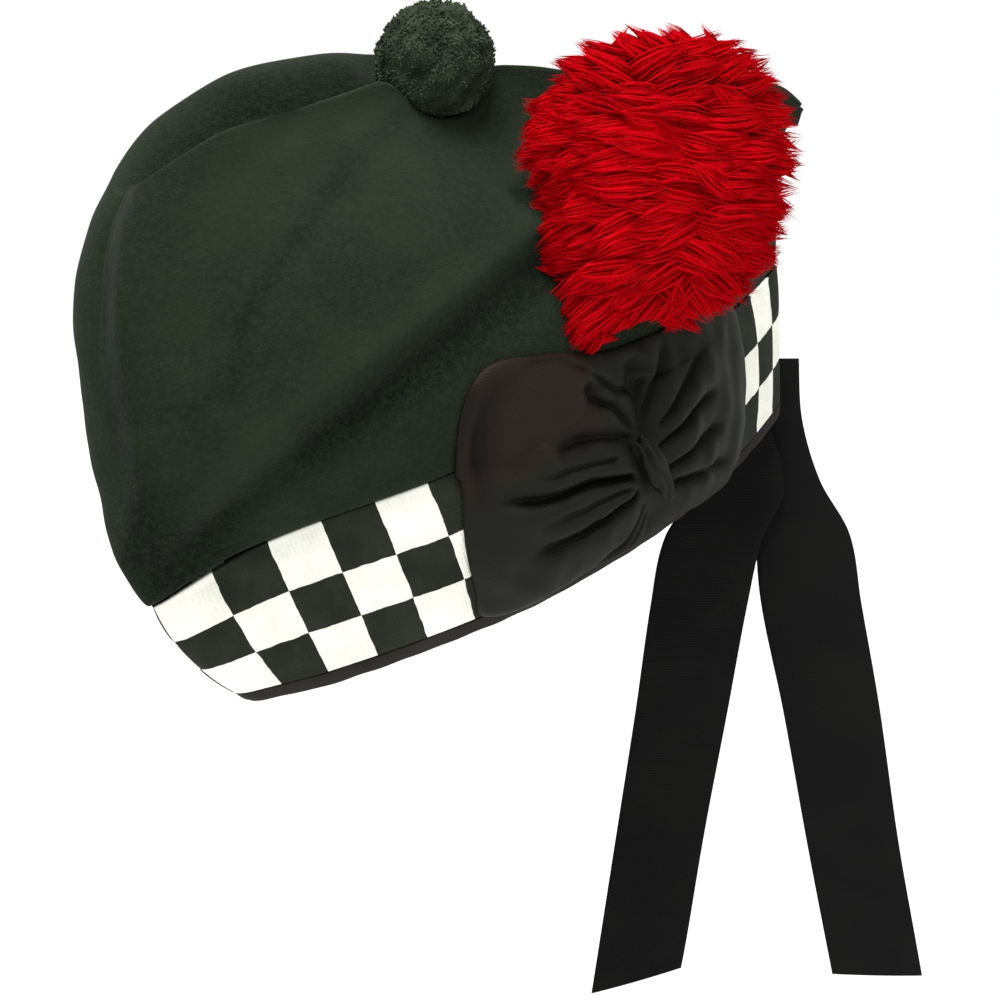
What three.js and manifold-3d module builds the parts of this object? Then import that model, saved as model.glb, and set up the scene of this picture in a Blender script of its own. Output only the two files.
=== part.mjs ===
// Glengarry cap: felt crown with a lengthwise crease, diced band, bound rim, wool toorie,
// gathered silk cockade with its knot, feather hackle and two hanging ribbon tails.
//
// Cap frame, millimetres: x forward, y to the wearer's left, z up from the plane of the rim,
// origin in the middle of the rim. The finished group is pitched front-down by PITCH, the way the
// cap sits on a head, so the group's own z is the way the ribbons hang.
import * as THREE from "three";
import { mergeVertices } from "three/addons/utils/BufferGeometryUtils.js";
import Module from "manifold-3d";

const wasm = await Module();
wasm.setup();

const RAD = Math.PI / 180;
const PITCH = 22.4 * RAD;

// ---- sizes the whole cap is worked out from
const DIE = 17.86; // one die of the band along its middle
const DICE = 16; // dice on each side, seam to seam
const ARC = DIE * DICE; // half the band's round, measured along its middle
const BINDING = 5.7; // height of the rim binding
const ROW = 15.5; // height of one row of dice
const BAND_TOP = BINDING + 3 * ROW;
const BAND_MID = BINDING + 1.5 * ROW;
const RISE = 116; // length of the crown's side from the band to the ridge
const NOSE = 0.035; // how much further the front seam reaches, as a share of the length
const FELT = 2.2; // wall of the crown
const KNIT = 2.4; // wall of the band
const TONGUE = 1.5; // wall of the band's foot, thinned to sit inside the binding
const TAPE = 1.0; // thickness of the binding
const FOLD_IN = 1.4; // height of the tape's turn under the band's foot
const RIBBON = 0.9; // thickness of the ribbon tails
const GAP = 0.3; // between pieces that touch

// ---- tables
// heading of the band's wall, by share of the way from the front seam to the back seam
const PLAN = [
  { at: 0, heading: 89 },
  { at: 0.012, heading: 60 },
  { at: 0.03, heading: 33 },
  { at: 0.1, heading: 30 },
  { at: 0.25, heading: 26 },
  { at: 0.48, heading: 2.5 },
  { at: 0.7, heading: -17 },
  { at: 0.87, heading: -29.5 },
  { at: 0.965, heading: -36.5 },
  { at: 0.988, heading: -66 },
  { at: 1, heading: -88 },
];
// how the rim and the band's top differ from the band's middle, as shares of its length and width,
// how the height of the rows differs, and how far the rim is lifted
const FLARE = [
  { at: 0, rimLong: -0.106, topLong: 0.036, rimWide: -0.26, topWide: -0.03, tall: 0.9, lift: 5.5 },
  { at: 0.12, rimLong: -0.06, topLong: 0.017, rimWide: -0.255, topWide: -0.03, tall: 1.045, lift: 1.2 },
  { at: 0.35, rimLong: -0.105, topLong: 0.01, rimWide: -0.255, topWide: -0.03, tall: 1.03, lift: -1.8 },
  { at: 0.5, rimLong: -0.105, topLong: 0.032, rimWide: -0.225, topWide: -0.02, tall: 1.05, lift: -1.3 },
  { at: 0.8, rimLong: -0.089, topLong: 0.038, rimWide: -0.2, topWide: 0.03, tall: 1.01, lift: 0.3 },
  { at: 1, rimLong: -0.065, topLong: 0.07, rimWide: -0.22, topWide: 0.05, tall: 1, lift: 3 },
];
// the two ridges, from the back end (0) to the front end (1): height above the rim plane, distance
// from the middle, how much lower the left ridge runs, and how deep the crease lies between them
const RIDGE = [
  { at: 0, height: 101, half: 7, leftLower: 0, crease: 4 },
  { at: 0.04, height: 112, half: 9, leftLower: 0, crease: 6 },
  { at: 0.2, height: 131, half: 13, leftLower: 0, crease: 8 },
  { at: 0.38, height: 150.7, half: 15, leftLower: 0, crease: 8 },
  { at: 0.47, height: 163.2, half: 15, leftLower: 2, crease: 9 },
  { at: 0.58, height: 178.7, half: 16, leftLower: 8, crease: 12 },
  { at: 0.75, height: 188.9, half: 22.2, leftLower: 13, crease: 18 },
  { at: 0.87, height: 184.9, half: 27.9, leftLower: 5, crease: 18 },
  { at: 0.95, height: 175.7, half: 32.4, leftLower: -2, crease: 13 },
  { at: 1, height: 169.8, half: 26.9, leftLower: -3, crease: 6 },
];
// the crown's rounds, from the band's top (0) to the ridges (1): reach to the front and back, half
// width, how pointed each end is (2 a keel, below 1 squared), how much of the band's own plan is
// left, and how deep the front seam is drawn in
const ROUND = [
  { at: 0, front: 140.1, back: -136.5, half: 52.4, keelFront: 2, keelBack: 2.0, band: 1.0, seam: 0 },
  { at: 0.08, front: 142.8, back: -138.5, half: 54, keelFront: 1.62, keelBack: 2.0, band: 0.8, seam: 0.5 },
  { at: 0.18, front: 144.7, back: -142, half: 55.5, keelFront: 1.11, keelBack: 1.9, band: 0.45, seam: 1.5 },
  { at: 0.35, front: 139.8, back: -145, half: 54, keelFront: 0.95, keelBack: 1.7, band: 0.12, seam: 4 },
  { at: 0.55, front: 136.1, back: -149, half: 49, keelFront: 1.12, keelBack: 1.5, band: 0, seam: 6 },
  { at: 0.8, front: 123.8, back: -156, half: 40, keelFront: 0.75, keelBack: 1.35, band: 0, seam: 7 },
  { at: 0.92, front: 112.4, back: -163.5, half: 34, keelFront: 0.75, keelBack: 1.2, band: 0, seam: 6 },
  { at: 1, front: 100.5, back: -171, half: 29, keelFront: 0.86, keelBack: 1.1, band: 0, seam: 6 },
];
// the long fold slanting down the left side: height of its brow by distance forward
const FOLD = [
  { at: -95, brow: 118 },
  { at: -17, brow: 113 },
  { at: 46, brow: 105 },
  { at: 91, brow: 87 },
  { at: 135, brow: 75 },
];
const FOLD_BROW = { out: 3.0, wide: 12 };
const FOLD_TROUGH = { below: 23, in: 4.2, wide: 14 };
// round dents in the left side: place, depth, radius
const DENTS = [{ x: -13, z: 123, deep: 3.0, wide: 8 }];

const TOORIE = { x: -20, y: 12, z: 172, radius: 20 };

// the cockade, on the side of the cap: a = along the band from the front seam, h = up from the rim.
// Its outline runs round the knot, 0 degrees towards the back and 90 degrees up.
const KNOT = { a: 160, h: 26, wide: 4.6, tall: 6.2, deep: 3.4, lift: 6.2 };
const COCKADE = [
  { at: 0, out: 69 },
  { at: 12, out: 72 },
  { at: 22, out: 77 },
  { at: 30, out: 76 },
  { at: 38, out: 68 },
  { at: 48, out: 58 },
  { at: 62, out: 48 },
  { at: 90, out: 45 },
  { at: 113, out: 54 },
  { at: 126, out: 63 },
  { at: 137, out: 66 },
  { at: 150, out: 68 },
  { at: 163, out: 69 },
  { at: 176, out: 71 },
  { at: 188, out: 72.5 },
  { at: 196.5, out: 73.5 },
  { at: 206, out: 48 },
  { at: 222, out: 31.5 },
  { at: 245, out: 23.3 },
  { at: 270, out: 21.2 },
  { at: 295, out: 23.3 },
  { at: 320, out: 32.5 },
  { at: 341, out: 63 },
  { at: 350, out: 68 },
  { at: 360, out: 69 },
];
// its gathers: direction beside the knot and at the edge, how deep, how wide (degrees), and where
// along its length each one begins and ends
const GATHERS = [
  { near: 150, far: 165, deep: 0.75, wide: 9, from: 0.1, to: 0.85 },
  { near: 115, far: 150, deep: 0.6, wide: 9, from: 0.2, to: 0.7 },
  { near: 192, far: 181, deep: 0.55, wide: 6, from: 0.08, to: 0.95 },
  { near: 226, far: 203, deep: 0.5, wide: 8, from: 0.1, to: 1 },
  { near: 92, far: 100, deep: 0.9, wide: 16, from: 0.3, to: 1 },
  { near: 58, far: 66, deep: 0.6, wide: 9, from: 0.1, to: 1 },
  { near: 36, far: 20, deep: 0.6, wide: 10, from: 0.1, to: 0.95 },
  { near: 5, far: 0, deep: 0.5, wide: 12, from: 0.1, to: 1 },
  { near: 340, far: 345, deep: 0.6, wide: 12, from: 0.1, to: 1 },
];
const COCKADE_PUFF = 6.2; // how far the silk stands off the side between its gathers
const COCKADE_EDGE = 1.3; // thickness at its edge
const COCKADE_BACK = 0.75; // its back's distance from the skin of the cap

// the hackle, its own plane turned from the cap's middle plane and standing against the left side:
// a core with blades standing off it
const HACKLE = { x: -51.5, y: 66, z: 114, halfDeep: 18, turn: 30 };
// the core's outline round its middle, 0 degrees towards the back and 90 degrees up
const HACKLE_EDGE = [
  { at: 0, out: 36.5 },
  { at: 30, out: 45 },
  { at: 60, out: 47.5 },
  { at: 90, out: 47.5 },
  { at: 135, out: 47 },
  { at: 163, out: 46.5 },
  { at: 180, out: 38.5 },
  { at: 200, out: 42 },
  { at: 225, out: 46 },
  { at: 250, out: 51.5 },
  { at: 272, out: 45.5 },
  { at: 300, out: 39 },
  { at: 330, out: 37.5 },
  { at: 360, out: 36.5 },
];
// blades round its edge and over its face: how many, length past the core, radius at the root
const EDGE_BLADES = { count: 30, least: 2.5, most: 6.5, root: 8 };
const FACE_BLADES = { count: 12, out: 4, root: 8 };

// the ribbon tails, hung from the back of the rim: one row down each, by height below or above the
// middle of the rim, with the distance of each edge from the back seam (towards the back is plus),
// and how far the ribbon stands off towards the left. The left one is sewn under the binding, and
// the right one's neck lies against the band's right side, just past the back seam.
const TAILS = {
  ribbon_tail_left: [
    { z: 43.1, front: -11.5, back: -4.5, off: 2.4 },
    { z: 31, front: -18.5, back: 0, off: 2 },
    { z: 18, front: -31.5, back: 1.5, off: 2 },
    { z: 4, front: -41.5, back: -6, off: 3 },
    { z: -20, front: -46.5, back: -11.5, off: 2.5 },
    { z: -60, front: -52, back: -18.5, off: 2 },
    { z: -110, front: -59.5, back: -27.5, off: 2 },
    { z: -161, front: -67.5, back: -35, off: 2 },
  ],
  ribbon_tail_right: [
    { z: 68, front: -8, back: 7.5, off: -2.6 },
    { z: 46, front: -8.5, back: 9, off: -3.6 },
    { z: 24, front: -8, back: 15.5, off: -3.4 },
    { z: 5, front: -8, back: 26, off: -2 },
    { z: -20, front: -6, back: 30.5, off: -2 },
    { z: -60, front: 2.5, back: 38, off: -2 },
    { z: -110, front: 12, back: 45.5, off: -2 },
    { z: -156, front: 21, back: 54, off: -2 },
  ],
};
// how much higher the back edge stands than the front edge, at the top and at the cut end
const TAIL_ENDS = {
  ribbon_tail_left: { top: 2.45, cut: 9 },
  ribbon_tail_right: { top: 0, cut: -1 },
};
const BACK_SEAM = 119.5; // where the tails' rows are measured from, behind the middle of the rim
const TAIL_TURN = 32 * RAD; // the ribbons' plane, turned from the cap's middle plane

// ---- curves
// smooth curve through a table's column
function along(table, column, x) {
  let i = 0;
  while (i < table.length - 2 && x > table[i + 1].at) i++;
  const slope = (k) => {
    const a = table[Math.max(0, k - 1)],
      b = table[Math.min(table.length - 1, k + 1)];
    return (b[column] - a[column]) / (b.at - a.at);
  };
  const p = table[i],
    q = table[i + 1],
    w = q.at - p.at,
    t = Math.min(1, Math.max(0, (x - p.at) / w));
  return (
    (2 * t ** 3 - 3 * t ** 2 + 1) * p[column] +
    (t ** 3 - 2 * t ** 2 + t) * w * slope(i) +
    (3 * t ** 2 - 2 * t ** 3) * q[column] +
    (t ** 3 - t ** 2) * w * slope(i + 1)
  );
}
const smooth = (a, b, x) => {
  const t = Math.min(1, Math.max(0, (x - a) / (b - a)));
  return t * t * (3 - 2 * t);
};
const bump = (d, w) => Math.exp(-((d / w) ** 2));

// value at share s of an evenly spaced list
function pick(list, s) {
  const t = Math.min(1, Math.max(0, s)) * (list.length - 1),
    i = Math.min(list.length - 2, Math.floor(t));
  return list[i] + (list[i + 1] - list[i]) * (t - i);
}

// ---- the band's middle line on the left side, walked from the front seam to the back seam
const MIDDLE = (() => {
  const n = 800,
    x = [0],
    y = [0];
  for (let i = 0; i < n; i++) {
    const b = along(PLAN, "heading", (i + 0.5) / n) * RAD;
    x.push(x[i] - (Math.cos(b) * ARC) / n);
    y.push(y[i] + (Math.sin(b) * ARC) / n);
  }
  const shift = x[n] / 2,
    drift = y[n];
  return { x: x.map((v) => v - shift), y: y.map((v, i) => v - (drift * i) / n) };
})();

// a point of the band: f = share of the way round the left side, h = height on the wall
function band(f, h) {
  const u = (h - BAND_MID) / 26.1;
  const part = (rim, top) => {
    const a = along(FLARE, rim, f),
      b = along(FLARE, top, f);
    return ((a + b) / 2) * u * u + ((b - a) / 2) * u;
  };
  const z = h <= BINDING ? h : BINDING + (h - BINDING) * along(FLARE, "tall", f);
  return new THREE.Vector3(
    pick(MIDDLE.x, f) * (1 + part("rimLong", "topLong") + NOSE * bump(f, 0.05)),
    pick(MIDDLE.y, f) * (1 + part("rimWide", "topWide")),
    z + along(FLARE, "lift", f) * (1 - h / BAND_TOP),
  );
}

// one round of the crown at rise share s: its plan on the left side, spaced evenly along its length
const rounds = new Map();
function round(s) {
  if (rounds.has(s)) return rounds.get(s);
  const r = {};
  for (const k of ["front", "back", "half", "keelFront", "keelBack", "band", "seam"])
    r[k] = along(ROUND, k, s);
  const n = 360,
    mid = r.back + (r.front - r.back) * 0.52,
    top = smooth(0.55, 1, s);
  let x = [],
    y = [];
  for (let i = 0; i <= n; i++) {
    const th = (Math.PI * i) / n,
      c = Math.cos(th),
      sn = Math.sin(th);
    const px = c >= 0 ? mid + (r.front - mid) * c : mid + (mid - r.back) * c;
    const xi = (px - r.back) / (r.front - r.back);
    const side = r.half * sn ** (c >= 0 ? r.keelFront : r.keelBack);
    const ridge = along(RIDGE, "half", xi) * sn ** 0.62;
    x.push(px);
    y.push(side * (1 - top) + ridge * top);
  }
  const even = (xs, ys) => {
    const len = [0];
    for (let i = 1; i <= n; i++)
      len.push(len[i - 1] + Math.hypot(xs[i] - xs[i - 1], ys[i] - ys[i - 1]));
    const ox = [],
      oy = [];
    let k = 0;
    for (let i = 0; i <= n; i++) {
      const want = (len[n] * i) / n;
      while (k < n - 1 && len[k + 1] < want) k++;
      const t = (want - len[k]) / (len[k + 1] - len[k] || 1);
      ox.push(xs[k] + (xs[k + 1] - xs[k]) * t);
      oy.push(ys[k] + (ys[k + 1] - ys[k]) * t);
    }
    return [ox, oy];
  };
  [x, y] = even(x, y);
  if (r.band > 0) {
    const a = band(0, BAND_TOP).x,
      b = band(1, BAND_TOP).x;
    for (let i = 0; i <= n; i++) {
      const p = band(i / n, BAND_TOP);
      const bx = ((p.x - b) / (a - b)) * (r.front - r.back) + r.back;
      x[i] = x[i] * (1 - r.band) + bx * r.band;
      y[i] = y[i] * (1 - r.band) + ((p.y * r.half) / 52.4) * r.band;
    }
    [x, y] = even(x, y);
  }
  rounds.set(s, { ...r, x, y });
  return rounds.get(s);
}

// a point of the crown's side before its folds
function crownSide(f, s, left) {
  const r = round(s),
    x = pick(r.x, f),
    y = pick(r.y, f),
    xi = Math.min(1, Math.max(0, (x - r.back) / (r.front - r.back))),
    foot = band(f, BAND_TOP).z,
    lower = left ? along(RIDGE, "leftLower", xi) * s * s : 0,
    z = foot + s * (along(RIDGE, "height", xi) - lower - foot),
    seam = xi > 0.5 ? r.seam * bump(y, 11) : 0;
  return new THREE.Vector3(x - seam, left ? y : -y, z);
}

// a point between a ridge (t = 0) and the crease (t = 1)
function crownTop(f, t, left) {
  const r = round(1),
    p = crownSide(f, 1, left),
    xi = Math.min(1, Math.max(0, (p.x - r.back) / (r.front - r.back))),
    low =
      along(RIDGE, "height", xi) -
      along(RIDGE, "leftLower", xi) / 2 -
      along(RIDGE, "crease", xi),
    c = 1 - Math.cos((t * Math.PI) / 2);
  return new THREE.Vector3(
    p.x * (1 - t) + (-40 + (p.x + 40) * 0.97) * t,
    p.y * (1 - t),
    p.z * (1 - c) + low * c,
  );
}

// the folds and dents of the felt, and the seat of the toorie
function worn(p, s) {
  if (p.y > 0 && s > 0) {
    const on = smooth(0.02, 0.16, s) * (1 - smooth(0.85, 1, s));
    const d = p.z - along(FOLD, "brow", p.x);
    const fade = smooth(-100, -50, p.x) * (1 - smooth(105, 138, p.x));
    let out =
      fade *
      (FOLD_BROW.out * bump(d, FOLD_BROW.wide) -
        FOLD_TROUGH.in * bump(d + FOLD_TROUGH.below, FOLD_TROUGH.wide));
    for (const k of DENTS)
      out -= k.deep * bump(Math.hypot(p.x - k.x, p.z - k.z), k.wide);
    p.y += out * on;
  }
  return p;
}
function seated(p) {
  const d = Math.hypot(p.x - TOORIE.x, p.y - TOORIE.y),
    r = TOORIE.radius + 0.15,
    edge = 0.86 * r,
    foot = Math.sqrt(r * r - edge * edge),
    bowl = TOORIE.z - (d < edge ? Math.sqrt(r * r - d * d) : foot - ((d - edge) * edge) / foot),
    k = 2.5;
  if (bowl - p.z < 6 * k) p.z = p.z - k * Math.log(1 + Math.exp((p.z - bowl) / k));
  return p;
}

// the side of the whole cap in one chart: a = length along the band, h = height from the rim
function side(a, h) {
  const f = a / ARC;
  if (h <= BAND_TOP) return band(f, h);
  const s = (h - BAND_TOP) / RISE;
  return worn(crownSide(f, s, true), s);
}
function sideNormal(a, h) {
  const u = side(a + 1.5, h).sub(side(a - 1.5, h)),
    v = side(a, h + 1.5).sub(side(a, h - 1.5));
  return u.cross(v).normalize();
}

// ---- meshes and solids
function geometry(points, faces) {
  const g = new THREE.BufferGeometry();
  g.setAttribute(
    "position",
    new THREE.Float32BufferAttribute(points.flatMap((p) => [p.x, p.y, p.z]), 3),
  );
  g.setIndex(faces.flat());
  return g;
}
const onlyPositions = (g) => g.deleteAttribute("normal").deleteAttribute("uv");

// a closed geometry with its faces turned outward, whichever way they were wound
function outward(g) {
  const merged = mergeVertices(onlyPositions(g.clone()), 1e-3);
  const at = merged.attributes.position;
  const ix = merged.index.array;
  const corner = (i) => new THREE.Vector3().fromBufferAttribute(at, ix[i]);
  let volume = 0;
  for (let i = 0; i < ix.length; i += 3)
    volume += corner(i).dot(corner(i + 1).cross(corner(i + 2)));
  if (volume < 0)
    for (let i = 0; i < ix.length; i += 3) [ix[i + 1], ix[i + 2]] = [ix[i + 2], ix[i + 1]];
  return merged;
}
function solid(g) {
  const merged = outward(g);
  return new wasm.Manifold(
    new wasm.Mesh({
      numProp: 3,
      vertProperties: new Float32Array(merged.attributes.position.array),
      triVerts: new Uint32Array(merged.index.array),
    }),
  );
}
// a solid's largest body as a geometry: the slivers that a cut leaves are dropped
function whole(s) {
  const mesh = s
    .decompose()
    .sort((a, b) => b.volume() - a.volume())[0]
    .getMesh();
  const points = Array.from({ length: mesh.numVert }, (_, i) =>
    new THREE.Vector3().fromArray(mesh.vertProperties, i * mesh.numProp),
  );
  return geometry(points, [[...mesh.triVerts]]);
}
// skin through rows of loops, each row one closed loop of the same count; wrap joins the last row
// to the first. Each cell is split on its shorter diagonal, and cells of no size are left out.
function loops(rows, wrap) {
  const n = rows[0].length;
  const points = rows.flat();
  const faces = [];
  const apart = (a, b) => points[a].distanceTo(points[b]);
  const last = wrap ? rows.length : rows.length - 1;
  for (let i = 0; i < last; i++)
    for (let j = 0; j < n; j++) {
      const next = (i + 1) % rows.length;
      const k = (j + 1) % n;
      const [a, b, c, d] = [i * n + j, i * n + k, next * n + k, next * n + j];
      if (apart(a, c) <= apart(b, d)) faces.push([a, b, c], [a, c, d]);
      else faces.push([a, b, d], [b, c, d]);
    }
  const sized = ([a, b, c]) => Math.min(apart(a, b), apart(b, c), apart(a, c)) > 2e-3;
  return geometry(points, faces.filter(sized));
}

// ---- loops round the cap
// shares of the way round one side, closer together at the front and back seams
const STEPS = 32;
const SHARES = Array.from({ length: STEPS + 1 }, (_, i) => {
  const t = i / STEPS;
  return t - 0.075 * Math.sin(2 * Math.PI * t);
});
// one whole loop: back along the left side, forward along the right side
function loop(at) {
  const row = [];
  for (let i = 0; i <= STEPS; i++) row.push(at(SHARES[i], true));
  for (let i = STEPS - 1; i > 0; i--) row.push(at(SHARES[i], false));
  return row;
}
// a row's left and right points drawn to the line midway between them
function join(row) {
  for (let i = 1; i < STEPS; i++) {
    const left = row[i];
    const right = row[2 * STEPS - i];
    left.add(right).multiplyScalar(0.5);
    right.copy(left);
  }
}
// rows pushed inward by t along the skin's own normals, never over the middle plane, and by nose
// more at the two seams
function inset(rows, t, nose) {
  const n = rows[0].length;
  return rows.map((row, i) =>
    row.map((p, j) => {
      const round = row[(j + 1) % n].clone().sub(row[(j + n - 1) % n]);
      const above = rows[Math.min(rows.length - 1, i + 1)][j];
      const up = above.clone().sub(rows[Math.max(0, i - 1)][j]);
      const normal = round.cross(up).normalize();
      const q = p.clone().addScaledVector(normal, -t);
      const from = Math.abs(p.y);
      const side = Math.sign(p.y);
      q.y = from < 1e-6 ? 0 : side * Math.max(side * q.y, from * 0.6);
      q.x -= Math.sign(p.x) * bump(from, 6) * nose * Math.abs(normal.x);
      return q;
    }),
  );
}
// a level loop of the band at height h, t inside its outer skin
function level(h, t) {
  const rows = [h - 0.5, h, h + 0.5].map((k) =>
    loop((f, left) => {
      const p = band(f, k);
      return left ? p : p.setY(-p.y);
    }),
  );
  return inset(rows, t, t > 0 ? (t * 2) / FELT : 0)[1].map((p, j) => p.setZ(rows[1][j].z));
}

// ---- crown: outer skin rows from the band's top over the ridges to the crease
const SIDE_ROWS = [0, 0.04, 0.1, 0.18, 0.27, 0.37, 0.47, 0.57, 0.67, 0.77, 0.86, 0.94, 1];
const TOP_ROWS = [0.25, 0.5, 0.75, 1];
const outerCrown = [
  ...SIDE_ROWS.map((s) => loop((f, left) => seated(worn(crownSide(f, s, left), s)))),
  ...TOP_ROWS.map((t) => loop((f, left) => seated(crownTop(f, t, left)))),
];
for (const p of outerCrown[0]) p.z += GAP;
join(outerCrown.at(-1));

function crown() {
  const inner = inset(outerCrown, FELT, 2);
  inner.at(-1).forEach((p, j) => {
    p.copy(outerCrown.at(-1)[j]);
    p.z -= FELT * 1.15;
  });
  inner[0].forEach((p, j) => p.setZ(outerCrown[0][j].z));
  return loops([...inner.reverse(), ...outerCrown], false);
}

// ---- band and binding
const BAND_ROWS = [BINDING + GAP, 16, 28, 40, BAND_TOP - 0.05];
const FOOT = FOLD_IN + GAP;
const UNDER_TAPE = TAPE + GAP; // how far the band's foot is stepped in

function bandShell() {
  const inside = UNDER_TAPE + TONGUE;
  return loops(
    [
      ...[FOOT, ...BAND_ROWS].map((h) => level(h, inside)).reverse(),
      ...[FOOT, BINDING + GAP].map((h) => level(h, UNDER_TAPE)),
      ...BAND_ROWS.map((h) => level(h, 0)),
    ],
    true,
  );
}
// a strip folded round the foot of the band
function binding() {
  const lap = UNDER_TAPE + TONGUE + GAP;
  const foot = 0.35;
  return loops(
    [
      level(foot, 0),
      level(BINDING, 0),
      level(BINDING, TAPE),
      level(FOLD_IN, TAPE),
      level(FOLD_IN, lap),
      level(BINDING, lap),
      level(BINDING, lap + TAPE),
      level(foot, lap + TAPE),
    ],
    true,
  );
}
// the outside of the band and crown as one filled form, grown by g: what the pieces on it clear
function filled(g) {
  const bandRows = [0, 8, 17, 26, 35, 44].map((h) => level(h, 0));
  const rows = inset([...bandRows, ...outerCrown], -g, 0);
  join(rows.at(-1));
  return loops([rows[0].map(() => new THREE.Vector3()), ...rows], false);
}

// ---- cockade: gathered silk lying on the side, its skin raised between the gathers
const TURNS = 48;
const SPANS = [0.07, 0.2, 0.36, 0.53, 0.7, 0.86, 1];
// how far the gathers draw the silk down, r of the way out in direction deg
function gathered(deg, r) {
  let drawn = 0;
  for (const g of GATHERS) {
    const begins = smooth(g.from - 0.1, g.from + 0.08, r);
    const ends = g.to < 1 ? smooth(g.to - 0.05, g.to + 0.1, r) : 0;
    const heading = g.near + (g.far - g.near) * r;
    const off = Math.abs(((deg - heading + 540) % 360) - 180);
    drawn += g.deep * begins * (1 - ends) * bump(off, g.wide);
  }
  return Math.min(0.9, drawn);
}
function cockade(grow) {
  const skin = (front) =>
    SPANS.map((r) =>
      Array.from({ length: TURNS }, (_, j) => {
        const deg = (360 * j) / TURNS;
        const out = (along(COCKADE, "out", deg) + grow) * r;
        const a = KNOT.a + out * Math.cos(deg * RAD);
        const h = KNOT.h + out * Math.sin(deg * RAD);
        const puffed = Math.sin(Math.PI * Math.min(1, 0.12 + 0.86 * r) ** 0.9) ** 0.8;
        const lift = COCKADE_EDGE + COCKADE_PUFF * puffed * (1 - gathered(deg, r)) + grow;
        return side(a, h).addScaledVector(sideNormal(a, h), front ? lift : COCKADE_BACK - grow);
      }),
    );
  const hub = (row) => {
    const middle = row.reduce((sum, p) => sum.add(p), new THREE.Vector3()).divideScalar(TURNS);
    return row.map(() => middle.clone());
  };
  const front = skin(true);
  const back = skin(false);
  return loops([hub(back[0]), ...back, ...front.reverse(), hub(front.at(-1))], false);
}
// the knot over the middle of the cockade
function knot() {
  const out = sideNormal(KNOT.a, KNOT.h);
  const back = new THREE.Vector3(0, 1, 0).cross(out).normalize();
  const middle = side(KNOT.a, KNOT.h).addScaledVector(out, KNOT.lift);
  return new THREE.SphereGeometry(1, 10, 7)
    .scale(KNOT.wide, KNOT.tall, KNOT.deep)
    .applyMatrix4(new THREE.Matrix4().makeBasis(back, out.clone().cross(back), out))
    .translate(middle.x, middle.y, middle.z);
}

// ---- toorie: a clipped wool ball with a lumpy skin
function toorie() {
  const ball = mergeVertices(onlyPositions(new THREE.IcosahedronGeometry(TOORIE.radius, 4)), 1e-3);
  const at = ball.attributes.position;
  const v = new THREE.Vector3();
  for (let i = 0; i < at.count; i++) {
    v.fromBufferAttribute(at, i).normalize();
    const lump =
      0.018 * Math.sin(9 * v.x + 3 * v.y) * Math.sin(8 * v.z - 2 * v.x) +
      0.016 * Math.sin(13 * v.y + 5 * v.z) -
      0.02 * bump(v.z + 1, 0.3);
    v.multiplyScalar(TOORIE.radius * (1 + lump)).add(TOORIE);
    at.setXYZ(i, v.x, v.y, v.z);
  }
  return ball;
}

// ---- hackle: core and blades fused
// a direction of the group's own level frame, in the cap frame
const levelDirection = (x, y, z) =>
  new THREE.Vector3(x, y, z).applyAxisAngle(new THREE.Vector3(0, 1, 0), -PITCH);

// one lock of feathers: five-sided, full for the first 0.6 of its length, then drawn to a point
function blade(root, tip, radius) {
  const axis = tip.clone().sub(root);
  const ahead = axis.clone().normalize();
  const across = new THREE.Vector3(0.31, 0.77, 0.55).cross(ahead).normalize();
  const over = ahead.clone().cross(across);
  const ring = (share, r) =>
    Array.from({ length: 5 }, (_, k) =>
      root
        .clone()
        .addScaledVector(axis, share)
        .addScaledVector(across, Math.cos(k * 72 * RAD) * r)
        .addScaledVector(over, Math.sin(k * 72 * RAD) * r),
    );
  const rows = [0, 0.6].map((share) => ring(share, radius * (1 - 0.47 * share)));
  return solid(
    loops([rows[0].map(() => root.clone()), ...rows, rows[0].map(() => tip.clone())], false),
  );
}
function hackle() {
  const turn = HACKLE.turn * RAD;
  const back = levelDirection(-Math.cos(turn), Math.sin(turn), 0);
  const up = levelDirection(0, 0, 1);
  const out = back.clone().cross(up).normalize();
  const place = (u, v, w) =>
    new THREE.Vector3(HACKLE.x, HACKLE.y, HACKLE.z)
      .addScaledVector(back, u)
      .addScaledVector(up, v)
      .addScaledVector(out, w);
  const edge = (angle) => along(HACKLE_EDGE, "out", (((angle / RAD) % 360) + 360) % 360);

  const core = onlyPositions(new THREE.IcosahedronGeometry(1, 3));
  const at = core.attributes.position;
  for (let i = 0; i < at.count; i++) {
    const reach = edge(Math.atan2(at.getY(i), at.getX(i)));
    const p = place(at.getX(i) * reach, at.getY(i) * reach, at.getZ(i) * HACKLE.halfDeep);
    at.setXYZ(i, p.x, p.y, p.z);
  }
  const pieces = [solid(core)];

  const lock = (angle, near, far, wNear, wFar, root) =>
    pieces.push(
      blade(
        place(Math.cos(angle) * near, Math.sin(angle) * near, wNear),
        place(Math.cos(angle) * far, Math.sin(angle) * far, wFar),
        root,
      ),
    );
  const { count, least, most } = EDGE_BLADES;
  for (let i = 0; i < count; i++) {
    const angle = ((i + 0.25) * 2 * Math.PI) / count;
    const length = least + ((most - least) * ((i * 5) % 8)) / 7;
    const w = (i % 3) * 5 - 5;
    lock(angle, edge(angle) * 0.66, edge(angle) + length, w * 0.8, w, EDGE_BLADES.root);
  }
  for (let i = 0; i < FACE_BLADES.count; i++) {
    const angle = i * 2.4;
    const r = 0.75 * Math.sqrt((i + 0.5) / FACE_BLADES.count);
    const face = Math.sqrt(1 - r * r) * HACKLE.halfDeep;
    const out = edge(angle) * r;
    lock(angle, out * 0.8, out * 1.3, face * 0.5, face + FACE_BLADES.out, FACE_BLADES.root);
  }
  return wasm.Manifold.union(pieces);
}

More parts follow.
